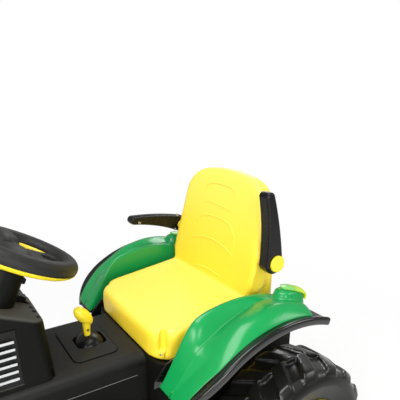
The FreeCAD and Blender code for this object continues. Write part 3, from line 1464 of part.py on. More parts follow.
hinge_holes = ring(sketch(weights, "YZ"), hinge_y, hinge_z, hinge_radius + running_gap)
pocket(weights, hinge_holes, 2 * half_weight, both=True)

# Hitch: a bent plate on the rear wall with a hole for a drawbar pin
hitch = new_body("hitch_bar")
half_hitch = 35
hitch_height = floor_height + S.hitch_rise
hitch_end = body_rear + S.hitch_length
hitch_thickness = 8
hitch_low = hitch_height - hitch_thickness / 2
hitch_plan = [
    (-half_hitch, body_rear), (half_hitch, body_rear), (half_hitch, hitch_end - half_hitch, half_hitch),
    (0, hitch_end, half_hitch), (-half_hitch, hitch_end - half_hitch),
]
pad(hitch, outline(sketch(hitch, "XY", hitch_low), hitch_plan), hitch_thickness)
flange = rectangle(-half_hitch, half_hitch, hitch_low, hitch_low + 44)
pad(hitch, outline(sketch(hitch, "XZ", -body_rear), flange), 6, back=True)
drawbar_y = hitch_end - 22
pocket(hitch, ring(sketch(hitch, "XY", hitch_low + hitch_thickness), 0, drawbar_y, S.hitch_hole),
       2 * hitch_thickness)


doc.recompute()
faults = []
for item in doc.Objects:
    if "Invalid" in item.State or "Error" in item.State:
        faults.append(f"{item.Label}: {item.State}")
for item in NODES:
    if item.Shape.isNull() or not item.Shape.isValid() or not item.Shape.Solids:
        faults.append(f"{item.Label}: no valid solid")
if faults:
    raise RuntimeError("; ".join(faults))
os.makedirs("parts", exist_ok=True)
for item in NODES:
    item.Shape.exportStep(f"parts/{item.Label}.step")
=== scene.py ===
import math

import bpy
from mathutils import Matrix, Vector


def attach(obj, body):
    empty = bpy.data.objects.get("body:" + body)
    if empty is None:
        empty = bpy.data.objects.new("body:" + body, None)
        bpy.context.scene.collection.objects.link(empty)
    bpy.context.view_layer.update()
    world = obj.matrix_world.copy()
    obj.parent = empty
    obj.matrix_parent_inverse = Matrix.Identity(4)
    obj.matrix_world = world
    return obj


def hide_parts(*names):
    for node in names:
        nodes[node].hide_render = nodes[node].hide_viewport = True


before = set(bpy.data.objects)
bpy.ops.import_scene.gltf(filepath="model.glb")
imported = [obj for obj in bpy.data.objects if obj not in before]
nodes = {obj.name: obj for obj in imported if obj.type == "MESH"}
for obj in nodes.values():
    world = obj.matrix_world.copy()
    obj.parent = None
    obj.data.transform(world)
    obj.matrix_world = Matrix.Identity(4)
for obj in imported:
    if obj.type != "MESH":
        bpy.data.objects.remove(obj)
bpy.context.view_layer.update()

bpy.ops.object.select_all(action="DESELECT")


# Studio: a pale floor that runs out into a white surround, one big soft box overhead and weaker
# ones at the sides. The camera stands at the rider's left and looks down over the steering wheel.
class Wire:
    """A value inside a material; sums and products of values add their own Math nodes."""

    def __init__(self, tree, socket=None):
        self.tree = tree
        self.socket = socket

    def node(self, kind, settings, values, output=0):
        """Add a node, its settings first and then the numbers or wires of its sockets."""
        made = self.tree.nodes.new("ShaderNode" + kind)
        for name, value in settings.items():
            if name == "stops":
                ramp = made.color_ramp
                while len(ramp.elements) < len(value):
                    ramp.elements.new(1.0)
                for element, (position, colour) in zip(ramp.elements, value):
                    element.position = position
                    element.color = colour
            else:
                setattr(made, name, value)
        for name, value in values.items():
            if isinstance(value, Wire):
                self.tree.links.new(value.socket, made.inputs[name])
            else:
                made.inputs[name].default_value = value
        return Wire(self.tree, made.outputs[output] if made.outputs else None)

    def maths(self, operation, first, second=0.0):
        return self.node("Math", {"operation": operation}, {0: first, 1: second})

    def smooth_step(self, low, high):
        """Nothing below the low value, one above the high value, eased between."""
        settings = {"interpolation_type": "SMOOTHSTEP"}
        return self.node("MapRange", settings, {"Value": self, "From Min": low, "From Max": high})

    def along(self, coordinates, axis):
        """One axis of the spot on the piece (Object) or of the way its skin faces (Normal)."""
        whole = self.node("TexCoord", {}, {}, output=coordinates)
        return self.node("SeparateXYZ", {}, {"Vector": whole}, output=axis)

    def __abs__(self):
        return self.maths("ABSOLUTE", self)

    def __add__(self, other):
        return self.maths("ADD", self, other)

    def __radd__(self, other):
        return self.maths("ADD", other, self)

    def __sub__(self, other):
        return self.maths("SUBTRACT", self, other)

    def __rsub__(self, other):
        return self.maths("SUBTRACT", other, self)

    def __mul__(self, other):
        return self.maths("MULTIPLY", self, other)

    def __rmul__(self, other):
        return self.maths("MULTIPLY", other, self)


def seen_directly(wire):
    """One for what the camera looks at, also through clear plastic, nothing for light on the object."""
    by_camera = wire.node("LightPath", {}, {}, output="Is Camera Ray")
    through_plastic = wire.node("LightPath", {}, {}, output="Is Transmission Ray")
    return wire.maths("MINIMUM", by_camera + through_plastic, 1.0)


world = bpy.data.worlds.new("surround")
bpy.context.scene.world = world
world.use_nodes = True
background = world.node_tree.nodes["Background"]
background.inputs["Color"].default_value = (1, 1, 1, 1)
surround_light = 0.34
surround_level = surround_light + seen_directly(Wire(world.node_tree)) * (1 - surround_light)
world.node_tree.links.new(surround_level.socket, background.inputs["Strength"])

floor_size = 60
bpy.ops.mesh.primitive_plane_add(size=floor_size, location=(0, 0, 0))
floor = bpy.context.object
floor.name = "floor"
floor_paint = bpy.data.materials.new("pale_floor")
floor_paint.use_nodes = True
floor_paint.node_tree.nodes.clear()
paint = Wire(floor_paint.node_tree)
floor_spot = paint.node("TexCoord", {}, {}, output="Object")
speck = paint.node("TexNoise", {}, {"Vector": floor_spot, "Scale": 40.0})
pale_tones = [(0.3, (0.86, 0.86, 0.86, 1)), (0.7, (0.90, 0.90, 0.90, 1))]
floor_tone = paint.node("ValToRGB", {"stops": pale_tones}, {"Fac": speck})
matt = paint.node("BsdfDiffuse", {}, {"Color": floor_tone})
white = paint.node("Emission", {}, {"Color": (1, 1, 1, 1), "Strength": 1.0})
shadow_kept = 0.34
shadow_start, shadow_end = 0.8, 1.7
away = paint.node("VectorMath", {"operation": "LENGTH"}, {0: floor_spot}, output="Value")
shadow_share = shadow_kept - shadow_kept * away.smooth_step(shadow_start, shadow_end)
whitened = seen_directly(paint) * (1 - shadow_share)
floor_mix = paint.node("MixShader", {}, {0: whitened, 1: matt, 2: white})
paint.node("OutputMaterial", {}, {"Surface": floor_mix})
floor.data.materials.append(floor_paint)


def soft_box(name, place, aim, size, power):
    """A square area lamp that looks at a point."""
    bpy.ops.object.light_add(type="AREA", location=place)
    lamp = bpy.context.object
    lamp.name = name
    lamp.data.shape = "SQUARE"
    lamp.data.size = size
    lamp.data.energy = power
    lamp.rotation_mode = "QUATERNION"
    lamp.rotation_quaternion = (Vector(aim) - Vector(place)).to_track_quat("-Z", "Y")


soft_box("box_overhead", (0.25, -0.35, 2.5), aim=(0.0, 0.15, 0.3), size=1.5, power=37)
soft_box("box_front", (1.3, -2.2, 1.5), aim=(0, 0.1, 0.4), size=1.2, power=38)
soft_box("box_rear", (-1.6, 1.7, 1.9), aim=(0, 0.2, 0.4), size=1.1, power=16)
soft_box("box_left", (2.3, -0.5, 1.1), aim=(0, 0.1, 0.4), size=1.2, power=27)
soft_box("box_rear_left", (1.5, 2.0, 1.8), aim=(0.1, 0.3, 0.4), size=1.1, power=14)

camera_place = (0.7676, -0.2341, 0.8102)
camera_turn = math.radians(57.67)
camera_pitch = math.radians(18.53)
level_share = math.cos(camera_pitch)
ahead = Vector((-math.sin(camera_turn) * level_share,
                math.cos(camera_turn) * level_share,
                -math.sin(camera_pitch)))
bpy.ops.object.camera_add(location=camera_place)
camera = bpy.context.object
camera.rotation_mode = "QUATERNION"
camera.rotation_quaternion = ahead.to_track_quat("-Z", "Y")
camera.data.sensor_width = 36.0
camera.data.lens = 39.2
camera.data.shift_x = 0.0358
camera.data.shift_y = 0.1087
camera.data.clip_start = 0.02
bpy.context.scene.camera = camera
bpy.context.scene.view_settings.view_transform = "Standard"


# Tub, console and seat deck: black polypropylene, injection moulded with a fine spark-eroded grain
# that breaks up the shine. The console cover snaps on along a seam, and a lighter grey strip on its
# ledge is a painted highlight.
def moulded(name, dark, light, rough, grain, gloss=0.5, pebble=0.0):
    """A moulded plastic: clouded colour, uneven shine and a fine grain or pebble in the surface."""
    material = bpy.data.materials.new(name)
    material.use_nodes = True
    tree = material.node_tree
    shader = tree.nodes["Principled BSDF"]
    shader.inputs["Specular IOR Level"].default_value = gloss
    wire = Wire(tree)
    place = wire.node("TexCoord", {}, {}, output="Object")
    cloud = wire.node("TexNoise", {}, {"Vector": place, "Scale": 7.0, "Detail": 3.0})
    rub = wire.node("TexNoise", {}, {"Vector": place, "Scale": 46.0, "Detail": 5.0, "Roughness": 0.65})
    fine = wire.node("TexNoise", {}, {"Vector": place, "Scale": 900.0, "Detail": 2.0})
    tones = {"Factor": cloud * 0.75 + rub * 0.25, 6: (*dark, 1), 7: (*light, 1)}
    colour = wire.node("Mix", {"data_type": "RGBA"}, tones, output=2)
    height = fine + cloud * 0.4
    if pebble:
        cells = wire.node("TexVoronoi", {"feature": "SMOOTH_F1"}, {"Vector": place, "Scale": pebble})
        height = height * 0.4 + (1 - cells) * 1.2
    shine = rough + (rub - 0.5) * 0.16 + (fine - 0.5) * 0.08
    bump = wire.node("Bump", {}, {"Height": height, "Strength": grain, "Distance": 0.0006})
    tree.links.new(colour.socket, shader.inputs["Base Color"])
    tree.links.new(shine.socket, shader.inputs["Roughness"])
    tree.links.new(bump.socket, shader.inputs["Normal"])
    return material


def tinted(material, share, colour):
    """Lay a second colour over a material's own, by the share that a wire gives."""
    shader = material.node_tree.nodes["Principled BSDF"]
    own = Wire(material.node_tree, shader.inputs["Base Color"].links[0].from_socket)
    layers = {"Factor": share, 6: own, 7: (*colour, 1)}
    both = share.node("Mix", {"data_type": "RGBA"}, layers, output=2)
    material.node_tree.links.new(both.socket, shader.inputs["Base Color"])


def painted_top_sheen(material, amount):
    """Paint a pale sheen where a surface faces up, a painted highlight for the light its top reflects."""
    facing_up = Wire(material.node_tree).along("Normal", "Z").smooth_step(0.2, 0.95)
    tinted(material, facing_up * amount, (0.55, 0.55, 0.52))


def dress(material, *names):
    """Put a material on CAD nodes."""
    for name in names:
        for holder in nodes[name].material_slots:
            holder.material = material


def fit(piece, material, body, slot, *stands_for):
    """Give a finished piece its material, its body and the CAD nodes it stands for; the finish (slot) is
    not used.
    """
    piece.data.materials.clear()
    piece.data.materials.append(material)
    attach(piece, body)
    if stands_for:
        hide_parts(*stands_for)


def apply(piece, kind, **settings):
    """Add one modifier to a piece and apply it."""
    bpy.context.view_layer.objects.active = piece
    modifier = piece.modifiers.new(kind, kind)
    for name, value in settings.items():
        setattr(modifier, name, value)
    bpy.ops.object.modifier_apply(modifier=modifier.name)


def started(name):
    """Name the primitive that was just added, settle its place into its mesh and return it."""
    piece = bpy.context.object
    piece.name = name
    piece.data.name = name
    bpy.ops.object.transform_apply(location=True, rotation=True, scale=True)
    return piece


def block(name, place, size, turn=(0, 0, 0)):
    """A box round a place, to be bevelled or cut."""
    bpy.ops.object.select_all(action="DESELECT")
    bpy.ops.mesh.primitive_cube_add(size=1, location=place, rotation=turn, scale=size)
    return started(name)


def copied(piece, name, shift):
    """The same piece in another place, with a mesh of its own."""
    twin = bpy.data.objects.new(name, piece.data.copy())
    twin.data.transform(Matrix.Translation(shift))
    bpy.context.collection.objects.link(twin)
    return twin


grained_black = moulded("grained_black", (0.0035, 0.0035, 0.003), (0.007, 0.007, 0.006),
                        rough=0.38, grain=0.35, gloss=0.08)
dress(grained_black, "chassis_tub", "seat_deck")
console_black = moulded("console_black", (0.003, 0.003, 0.0026), (0.006, 0.006, 0.0052),
                        rough=0.36, grain=0.3, gloss=0.12)
# Painted sheen: the console's upward faces are painted a little paler.
painted_top_sheen(console_black, amount=0.03)
dress(console_black, "console_cover")
# Painted highlight: the seam's ledge is a lighter grey than the console, standing in for the light along
# its edge.
seam_highlight_grey = moulded("seam_highlight_grey", (0.10, 0.10, 0.095), (0.20, 0.20, 0.19),
                       rough=0.4, grain=0.2, gloss=0.3)

seam_front, seam_back = -0.192, 0.072
seam_side, seam_height = 0.1101, 0.3003
ledge_proud, ledge_tall, ledge_edge = 0.0012, 0.0011, 0.0004
seam_middle = Vector((seam_side, (seam_front + seam_back) / 2, seam_height))
left_ledge = block("left_seam_ledge", seam_middle, (ledge_proud, seam_back - seam_front, ledge_tall))
apply(left_ledge, "BEVEL", width=ledge_edge, segments=2)
right_ledge = copied(left_ledge, "right_seam_ledge", (-2 * seam_side, 0, 0))
fit(left_ledge, seam_highlight_grey, "chassis", "body_black")
fit(right_ledge, seam_highlight_grey, "chassis", "body_black")


# Running gear: zinc-plated steel axles, pins and rods, turned and cold bent, with grey glass-filled
# nylon gearboxes, motors and battery case. Most of it is only seen from below or with the hood up.
zinc_steel = moulded("zinc_steel", (0.42, 0.43, 0.44), (0.60, 0.60, 0.60), rough=0.35, grain=0.08)
zinc_steel.node_tree.nodes["Principled BSDF"].inputs["Metallic"].default_value = 1.0
dress(zinc_steel, "rear_axle", "axle_nuts", "left_stub_axle", "right_stub_axle", "tie_rod",
      "steering_shaft", "pedal_pin", "seat_screws", "armrest_pivots")
grey_nylon = moulded("grey_nylon", (0.05, 0.05, 0.052), (0.08, 0.08, 0.082),
                     rough=0.5, grain=0.2, gloss=0.3)
dress(grey_nylon, "left_gearbox", "right_gearbox", "drive_motors", "battery", "battery_strap",
      "shift_switch", "pedal_switch")
dress(grained_black, "front_axle_beam", "hitch_bar", "front_weights")


# Wheels: hollow blow-moulded polyethylene tyres whose tread bars came out of the mould with soft
# edges, shiny on the tread and dull on the side walls. They are pressed over moulded yellow hubs.
def only(piece):
    """Select one piece and nothing else."""
    bpy.ops.object.select_all(action="DESELECT")
    piece.select_set(True)
    bpy.context.view_layer.objects.active = piece


def copy_of(name, source):
    """A piece of its own with the mesh of a CAD node, merged so that it can be rounded."""
    mesh = nodes[source].data.copy()
    mesh.transform(nodes[source].matrix_world)
    piece = bpy.data.objects.new(name, mesh)
    bpy.context.collection.objects.link(piece)
    only(piece)
    bpy.ops.object.mode_set(mode="EDIT")
    bpy.ops.mesh.select_all(action="SELECT")
    bpy.ops.mesh.remove_doubles(threshold=0.00002)
    bpy.ops.object.mode_set(mode="OBJECT")
    return piece


def softened(piece, voxel, passes):
    """Even out a mesh and rub its edges down, as a blow mould rounds them."""
    apply(piece, "REMESH", mode="VOXEL", voxel_size=voxel, use_smooth_shade=True)
    apply(piece, "SMOOTH", factor=0.5, iterations=passes)


tyre_black = moulded("tyre_black", (0.006, 0.006, 0.0055), (0.012, 0.012, 0.011),
                     rough=0.34, grain=0.2, gloss=0.16)
tyre_shader = tyre_black.node_tree.nodes["Principled BSDF"]
tyre_shader.inputs["Coat Roughness"].default_value = 0.24
tread_polish = 0.9
side_wall = abs(Wire(tyre_black.node_tree).along("Normal", "X")).smooth_step(0.55, 0.9)
polished_tread = tread_polish - tread_polish * side_wall
tyre_black.node_tree.links.new(polished_tread.socket, tyre_shader.inputs["Coat Weight"])
hub_yellow = moulded("hub_yellow", (0.86, 0.66, 0.020), (0.93, 0.73, 0.030),
                     rough=0.36, grain=0.08, gloss=0.4)
for end, voxel, passes in (("rear", 0.0025, 7), ("front", 0.0024, 2)):
    for side in ("left", "right"):
        wheel = f"{side}_{end}"
        tyre = copy_of(wheel + "_tyre_moulding", wheel + "_tyre")
        softened(tyre, voxel, passes)
        fit(tyre, tyre_black, wheel + "_wheel", "tyre_black", wheel + "_tyre")
        dress(hub_yellow, wheel + "_hub")


# Footboards and pedal: ribbed steps of the tub's black plastic, moulded flat and bolted under its
# sides. The drive pedal is a smoother moulding that rocks on a steel pin over the right step.
smooth_black = moulded("smooth_black", (0.0035, 0.0035, 0.0033), (0.007, 0.007, 0.0065),
                       rough=0.27, grain=0.10, gloss=0.26)
dress(grained_black, "left_footboard", "right_footboard")
dress(smooth_black, "accelerator_pedal")


# Hood: a glossy green polypropylene cover that tips forward on a hinge at the nose, over the battery.
# Its black grille is clipped into the front, with two clear lamp lenses let into the grille.
fender_green = moulded("fender_green", (0.005, 0.265, 0.062), (0.007, 0.31, 0.076),
                       rough=0.22, grain=0.05, gloss=0.5)
dress(fender_green, "hood")
dress(grained_black, "front_grille")
lamp_clear = moulded("lamp_clear", (0.62, 0.64, 0.66), (0.78, 0.79, 0.80), rough=0.10, grain=0.03)
dress(lamp_clear, "headlamps")


# Dash: a black cowl behind the hood, painted paler where it faces up as a painted sheen, with a
# louvred panel of silver-grey slats clipped into each side. A small instrument pod, push buttons
# and a column cover stand on its top, and a hook is moulded to the column.
def rod(name, place, radius, length, sides=32, turn=(0, 0, 0)):
    """A round rod about a place, upright unless it is turned."""
    bpy.ops.object.select_all(action="DESELECT")
    bpy.ops.mesh.primitive_cylinder_add(vertices=sides, radius=radius, depth=length,
                                        location=place, rotation=turn)
    return started(name)


def joined(pieces):
    """One piece of several, under the first one's name."""
    only(pieces[0])
    for piece in pieces[1:]:
        piece.select_set(True)
    bpy.ops.object.join()
    return pieces[0]


top_sheen_black = moulded("top_sheen_black", (0.003, 0.003, 0.0026), (0.006, 0.006, 0.0052),
                      rough=0.42, grain=0.35, gloss=0.08)
# Painted sheen: the cowl, column cover and pod are painted paler where they face up.
painted_top_sheen(top_sheen_black, amount=0.16)
dress(top_sheen_black, "dash_cowl", "column_cover", "instrument_pod")
dress(smooth_black, "vent_panels")

button_places = [
    Vector((-0.0138, -0.0891, 0.4441)),
    Vector((0.0048, -0.0882, 0.4437)),
    Vector((0.0233, -0.0875, 0.4434)),
    Vector((0.0475, -0.0858, 0.4428)),
]
button_radius, button_tall, button_edge, dash_slope = 0.0036, 0.005, 0.0012, -0.40
first_button = rod("dash_button_1", button_places[0], button_radius, button_tall, turn=(dash_slope, 0, 0))
apply(first_button, "BEVEL", width=button_edge, segments=3, limit_method="ANGLE")
bpy.ops.object.shade_smooth()
buttons = [first_button]
for count, place in enumerate(button_places[1:], 2):
    buttons.append(copied(first_button, f"dash_button_{count}", place - button_places[0]))
for button in buttons:
    fit(button, smooth_black, "chassis", "trim_black")

column_lean = -0.466
hook = block("column_hook", (0.014, -0.0995, 0.5040), (0.012, 0.011, 0.010), turn=(column_lean, 0, 0))
apply(hook, "BEVEL", width=0.0015, segments=2)
fit(hook, grained_black, "chassis", "body_black")

slat_silver = moulded("slat_silver", (0.45, 0.46, 0.47), (0.62, 0.63, 0.64), rough=0.3, grain=0.05)
slat_front, slat_rear = -0.1835, -0.1362
slat_deep, slat_tall, slat_edge = 0.0030, 0.0042, 0.0008
slat_foot, slat_pitch, slat_count = 0.3585, 0.0134, 6
panel_foot, panel_face, panel_lean = 0.3535, 0.0878, 0.10
slat_start = Vector((0, (slat_front + slat_rear) / 2, slat_foot))
slat = block("vent_slat_mouldings", slat_start, (slat_deep, slat_rear - slat_front, slat_tall))
apply(slat, "BEVEL", width=slat_edge, segments=2)
slat_bars = []
for index in range(slat_count):
    rise = slat_pitch * index
    across = panel_face - panel_lean * (slat_foot + rise - panel_foot)
    slat_bars.append(copied(slat, "left_slat", (across, 0, rise)))
    slat_bars.append(copied(slat, "right_slat", (-across, 0, rise)))
bpy.data.objects.remove(slat)
slats = joined(slat_bars)
slats.name = "vent_slat_mouldings"
fit(slats, slat_silver, "chassis", "slat_silver", "vent_slats")


# Steering wheel: a black upper shell with a pebbled grip, two thumb rests and a slotted rear spoke,
# with a soft pad pressed into its middle. It is screwed to a smooth yellow lower shell, which shows
# as a line under the rim and as a lip inside it.
def ball(name, place, half_sizes):
    """A ball drawn out to three half sizes, to be shaped or grown together with its neighbours."""
    bpy.ops.object.select_all(action="DESELECT")
    bpy.ops.mesh.primitive_uv_sphere_add(segments=48, ring_count=32, radius=1, location=place,
                                         scale=half_sizes)
    return started(name)


def set_down(piece, place, tilt):
    """Tip a piece that was shaped at the origin and settle it in its place."""
    only(piece)
    piece.rotation_euler = (tilt, 0, 0)
    piece.location = place
    bpy.ops.object.transform_apply(location=True, rotation=True, scale=True)


pebbled_black = moulded("pebbled_black", (0.010, 0.010, 0.0095), (0.019, 0.019, 0.017),
                        rough=0.46, grain=0.5, gloss=0.26, pebble=620.0)
wheel_centre = Vector((0, -0.097, 0.555))
wheel_tilt = math.radians(26.7)
rim_radius, grip_round, shell_split = 0.092, 0.017, -0.007
rest_side, rest_front, rest_half = 0.052, -0.024, (0.038, 0.037, 0.0205)
hub_place, hub_half = (0, -0.014, 0), (0.046, 0.036, 0.009)
neck_radius, neck_tall, neck_clear = 0.019, 0.026, 0.030
spoke_size, spoke_place, spoke_flare = (0.056, 0.066, 0.009), (0, 0.052, -0.0025), 1.45
slot_size, slot_place, slot_corner = (0.030, 0.025, 0.06), (0, 0.058, 0), 0.007
bpy.ops.object.select_all(action="DESELECT")
bpy.ops.mesh.primitive_torus_add(major_radius=rim_radius, minor_radius=grip_round,
                                 major_segments=128, minor_segments=40)
rim = started("steering_wheel_shell")
left_thumb_rest = ball("left_thumb_rest", (rest_side, rest_front, 0), rest_half)
right_thumb_rest = ball("right_thumb_rest", (-rest_side, rest_front, 0), rest_half)
wheel_hub = ball("wheel_hub", hub_place, hub_half)
hub_neck = rod("hub_neck", (0, 0, -neck_tall / 2), neck_radius, neck_tall, sides=48)
rear_spoke = block("rear_spoke", spoke_place, spoke_size)
for vertex in rear_spoke.data.vertices:
    if vertex.co.y > spoke_place[1]:
        vertex.co.x *= spoke_flare
slot_cutter = block("slot_cutter", slot_place, slot_size)
apply(slot_cutter, "BEVEL", width=slot_corner, segments=4)
apply(rear_spoke, "BOOLEAN", object=slot_cutter, operation="DIFFERENCE", solver="EXACT")
bpy.data.objects.remove(slot_cutter)
joined([rim, left_thumb_rest, right_thumb_rest, wheel_hub, hub_neck, rear_spoke])
softened(rim, voxel=0.0019, passes=8)
for vertex in rim.data.vertices:
    if math.hypot(vertex.co.x, vertex.co.y) > neck_clear:
        vertex.co.z = max(vertex.co.z, shell_split)
set_down(rim, wheel_centre, -wheel_tilt)
fit(rim, pebbled_black, "steering", "trim_black", "steering_wheel")

pad_place, pad_half = (0, -0.034, 0), (0.034, 0.025, 0.0265)
horn_pad = ball("steering_pad_moulding", pad_place, pad_half)
for vertex in horn_pad.data.vertices:
    vertex.co.z = max(vertex.co.z, 0)
set_down(horn_pad, wheel_centre, -wheel_tilt)
bpy.ops.object.shade_smooth()
fit(horn_pad, pebbled_black, "steering", "trim_black", "steering_pad")

trim_yellow = moulded("trim_yellow", (0.86, 0.66, 0.020), (0.94, 0.75, 0.030), rough=0.26, grain=0.05)
dress(trim_yellow, "steering_trim")
lip_radius, lip_round, lip_drop = 0.0775, 0.0055, 0.0045
lip_place = wheel_centre - lip_drop * Vector((0, math.sin(wheel_tilt), math.cos(wheel_tilt)))
bpy.ops.object.select_all(action="DESELECT")
bpy.ops.mesh.primitive_torus_add(major_radius=lip_radius, minor_radius=lip_round, major_segments=96,
                                 minor_segments=16, location=lip_place, rotation=(-wheel_tilt, 0, 0))
lip = started("steering_trim_lip")
bpy.ops.object.shade_smooth()
fit(lip, trim_yellow, "steering", "trim_yellow")


# Shifter: a smooth black barrel-shaped drum turns in the gate plate of the console. It carries a
# yellow egg-shaped knob, which leans forward on a short moulded stem and is held by a small screw.
dress(console_black, "shift_gate")
shift_axis = Vector((0, 0.018, 0.322))
drum_radius, drum_half = 0.0318, 0.0315
barrel_share, barrel_power = 0.62, 3.2
bpy.ops.object.select_all(action="DESELECT")
bpy.ops.mesh.primitive_uv_sphere_add(segments=64, ring_count=40, radius=1, location=shift_axis,
                                     rotation=(0, math.pi / 2, 0),
                                     scale=(drum_radius, drum_radius, drum_half))
drum = started("shift_dome")
for vertex in drum.data.vertices:
    reach = abs(vertex.co.x - shift_axis.x) / drum_half
    ball_round = max(1 - reach * reach, 0) ** 0.5
    barrel_round = max(1 - reach ** barrel_power, 0) ** (1 / barrel_power)
    if ball_round > 1e-4:
        swell = (1 - barrel_share) + barrel_share * barrel_round / ball_round
        vertex.co.y = shift_axis.y + (vertex.co.y - shift_axis.y) * swell
        vertex.co.z = shift_axis.z + (vertex.co.z - shift_axis.z) * swell
bpy.ops.object.shade_smooth()
fit(drum, smooth_black, "shifter", "trim_black", "shift_drum")

egg_centre = Vector((0, 0.0100, 0.3965))
egg_half, egg_round, egg_top_fuller = 0.0256, 0.0134, 0.10
egg_lean = math.radians(39)
egg = ball("shift_knob_moulding", (0, 0, 0), (egg_round, egg_round, egg_half))
for vertex in egg.data.vertices:
    fullness = 1 + egg_top_fuller * vertex.co.z / egg_half
    vertex.co.x *= fullness
    vertex.co.y *= fullness
set_down(egg, egg_centre, egg_lean)
stem_foot, stem_head = Vector((0, 0.0160, 0.346)), Vector((0, 0.0130, 0.386))
stem_foot_radius, stem_head_radius = 0.0062, 0.0088
bpy.ops.object.select_all(action="DESELECT")
bpy.ops.mesh.primitive_cone_add(vertices=32, radius1=stem_foot_radius, radius2=stem_head_radius,
                                depth=(stem_head - stem_foot).length,
                                location=(stem_head + stem_foot) / 2)
stem = started("shift_stem")
joined([egg, stem])
softened(egg, voxel=0.0011, passes=12)
fit(egg, trim_yellow, "shifter", "trim_yellow", "shift_knob")


def screw_head(name, place, radius):
    """A small round screw head with a sunk socket, facing the tractor's left."""
    head_tall = radius * 0.7
    socket_rim = radius * 0.45
    socket_deep = radius * 0.4
    edge_round = radius * 0.12
    head = rod(name, place, radius, head_tall, sides=24, turn=(0, math.pi / 2, 0))
    bpy.ops.object.mode_set(mode="EDIT")
    bpy.ops.mesh.select_mode(type="FACE")
    bpy.ops.mesh.select_all(action="DESELECT")
    bpy.ops.object.mode_set(mode="OBJECT")
    for face in head.data.polygons:
        face.select = face.normal.x > 0.9
    bpy.ops.object.mode_set(mode="EDIT")
    bpy.ops.mesh.inset(thickness=socket_rim)
    bpy.ops.mesh.extrude_region_move(TRANSFORM_OT_translate={"value": (-socket_deep, 0, 0)})
    bpy.ops.object.mode_set(mode="OBJECT")
    apply(head, "BEVEL", width=edge_round, segments=2, limit_method="ANGLE")
    return head


knob_screw = screw_head("shift_knob_screw", (0.0074, 0.0146, 0.3665), radius=0.0028)
fit(knob_screw, smooth_black, "shifter", "trim_black")


# Seat: one blow-moulded piece of yellow polyethylene, its edges drawn round by the mould. Its
# cushion top and upper back are painted a paler tone: painted light, where the lamps fall on it.
# Raised arcs cross the back, and each front corner has a notch with a lug, where a screw holds
# the seat to the deck.
def clamped(value):
    """A share kept between nothing and one."""
    return min(max(value, 0), 1)


seat_yellow = moulded("seat_yellow", (0.91, 0.66, 0.030), (0.95, 0.71, 0.042),
                      rough=0.42, grain=0.08, gloss=0.4)
# Painted light: faces that look up, and the upper back away from its flanks, get a paler yellow.
seat_wire = Wire(seat_yellow.node_tree)
on_top = seat_wire.along("Normal", "Z").smooth_step(0.3, 0.95)
high_up = seat_wire.along("Object", "Z").smooth_step(0.46, 0.66)
on_flank = abs(seat_wire.along("Normal", "X")).smooth_step(0.35, 0.85)
tinted(seat_yellow, seat_wire.maths("MAXIMUM", on_top, high_up * (1 - on_flank)), (0.96, 0.75, 0.105))

seat = copy_of("seat_moulding", "seat")
softened(seat, voxel=0.0036, passes=20)
crease = Vector((0, 0.304, 0.418))
back_lean = math.radians(12)
up_back = Vector((0, math.sin(back_lean), math.cos(back_lean)))
into_back = Vector((0, math.cos(back_lean), -math.sin(back_lean)))
back_top, top_dome, dome_half = 0.250, 0.009, 0.091
back_swell, back_blend, boss_start = 0.110, 0.03, 0.152
heel_swell, heel_push, heel_top, heel_fade = 0.145, 0.010, 0.15, 0.08
heel_depth, heel_blend = 0.028, 0.02
tallest = max((vertex.co - crease).dot(up_back) for vertex in seat.data.vertices)
for vertex in seat.data.vertices:
    rise = (vertex.co - crease).dot(up_back)
    depth = (vertex.co - crease).dot(into_back)
    heel = clamped((depth - heel_depth) / heel_blend) * clamped((heel_top - rise) / heel_fade)
    swell = max(back_swell * clamped(rise / back_blend), heel_swell * heel)
    if abs(vertex.co.x) < boss_start:
        wider = min(abs(vertex.co.x) * (1 + swell), boss_start)
        vertex.co.x = math.copysign(wider, vertex.co.x)
    vertex.co.y += heel_push * heel
    if rise > 0:
        high = min(rise / back_top, 1) ** 2
        vertex.co += up_back * high * (back_top - tallest - top_dome * (vertex.co.x / dome_half) ** 2)

notch_side, notch_front, notch_round = 0.1325, 0.1165, 0.0074
notch_low, notch_high = 0.3545, 0.430
lug_side, lug_front, lug_round, lug_low, lug_edge = 0.1372, 0.1118, 0.0064, 0.342, 0.0014
for sign in (1, -1):
    notch_place = (sign * notch_side, notch_front, (notch_low + notch_high) / 2)
    cutter = rod("notch_cutter", notch_place, notch_round, notch_high - notch_low, sides=48)
    apply(seat, "BOOLEAN", object=cutter, operation="DIFFERENCE", solver="EXACT")
    bpy.data.objects.remove(cutter)
lug_place = (lug_side, lug_front, (notch_low + lug_low) / 2)
left_lug = rod("left_notch_lug", lug_place, lug_round, notch_low - lug_low)
apply(left_lug, "BEVEL", width=lug_edge, segments=3, limit_method="ANGLE")
right_lug = copied(left_lug, "right_notch_lug", (-2 * lug_side, 0, 0))
joined([seat, left_lug, right_lug])
bpy.ops.object.shade_smooth_by_angle(angle=math.radians(50))
fit(seat, seat_yellow, "chassis", "seat_yellow", "seat")


def bead(name, points, radius):
    """A round bead along a line, thinner at both ends, as a mesh."""
    line = bpy.data.curves.new(name, "CURVE")
    line.dimensions = "3D"
    line.bevel_depth = radius
    line.bevel_resolution = 3
    line.resolution_u = 6
    line.use_fill_caps = True
    spline = line.splines.new("NURBS")
    spline.points.add(len(points) - 1)
    for knot, place in zip(spline.points, points):
        knot.co = (*place, 1)
    spline.order_u = 3
    spline.use_endpoint_u = True
    spline.points[0].radius = 0.4
    spline.points[-1].radius = 0.4
    made = bpy.data.objects.new(name, line)
    bpy.context.collection.objects.link(made)
    only(made)
    bpy.ops.object.convert(target="MESH")
    bpy.ops.object.shade_smooth()
    return made


def on_seat(x, rise):
    """The point of the seat's skin at a place on the back, measured up from the crease."""
    stand_off = 0.08
    start = crease + up_back * rise + Vector((x, 0, 0)) - into_back * stand_off
    found, place, _, _ = seat.ray_cast(start, into_back)
    return place if found else start + into_back * stand_off


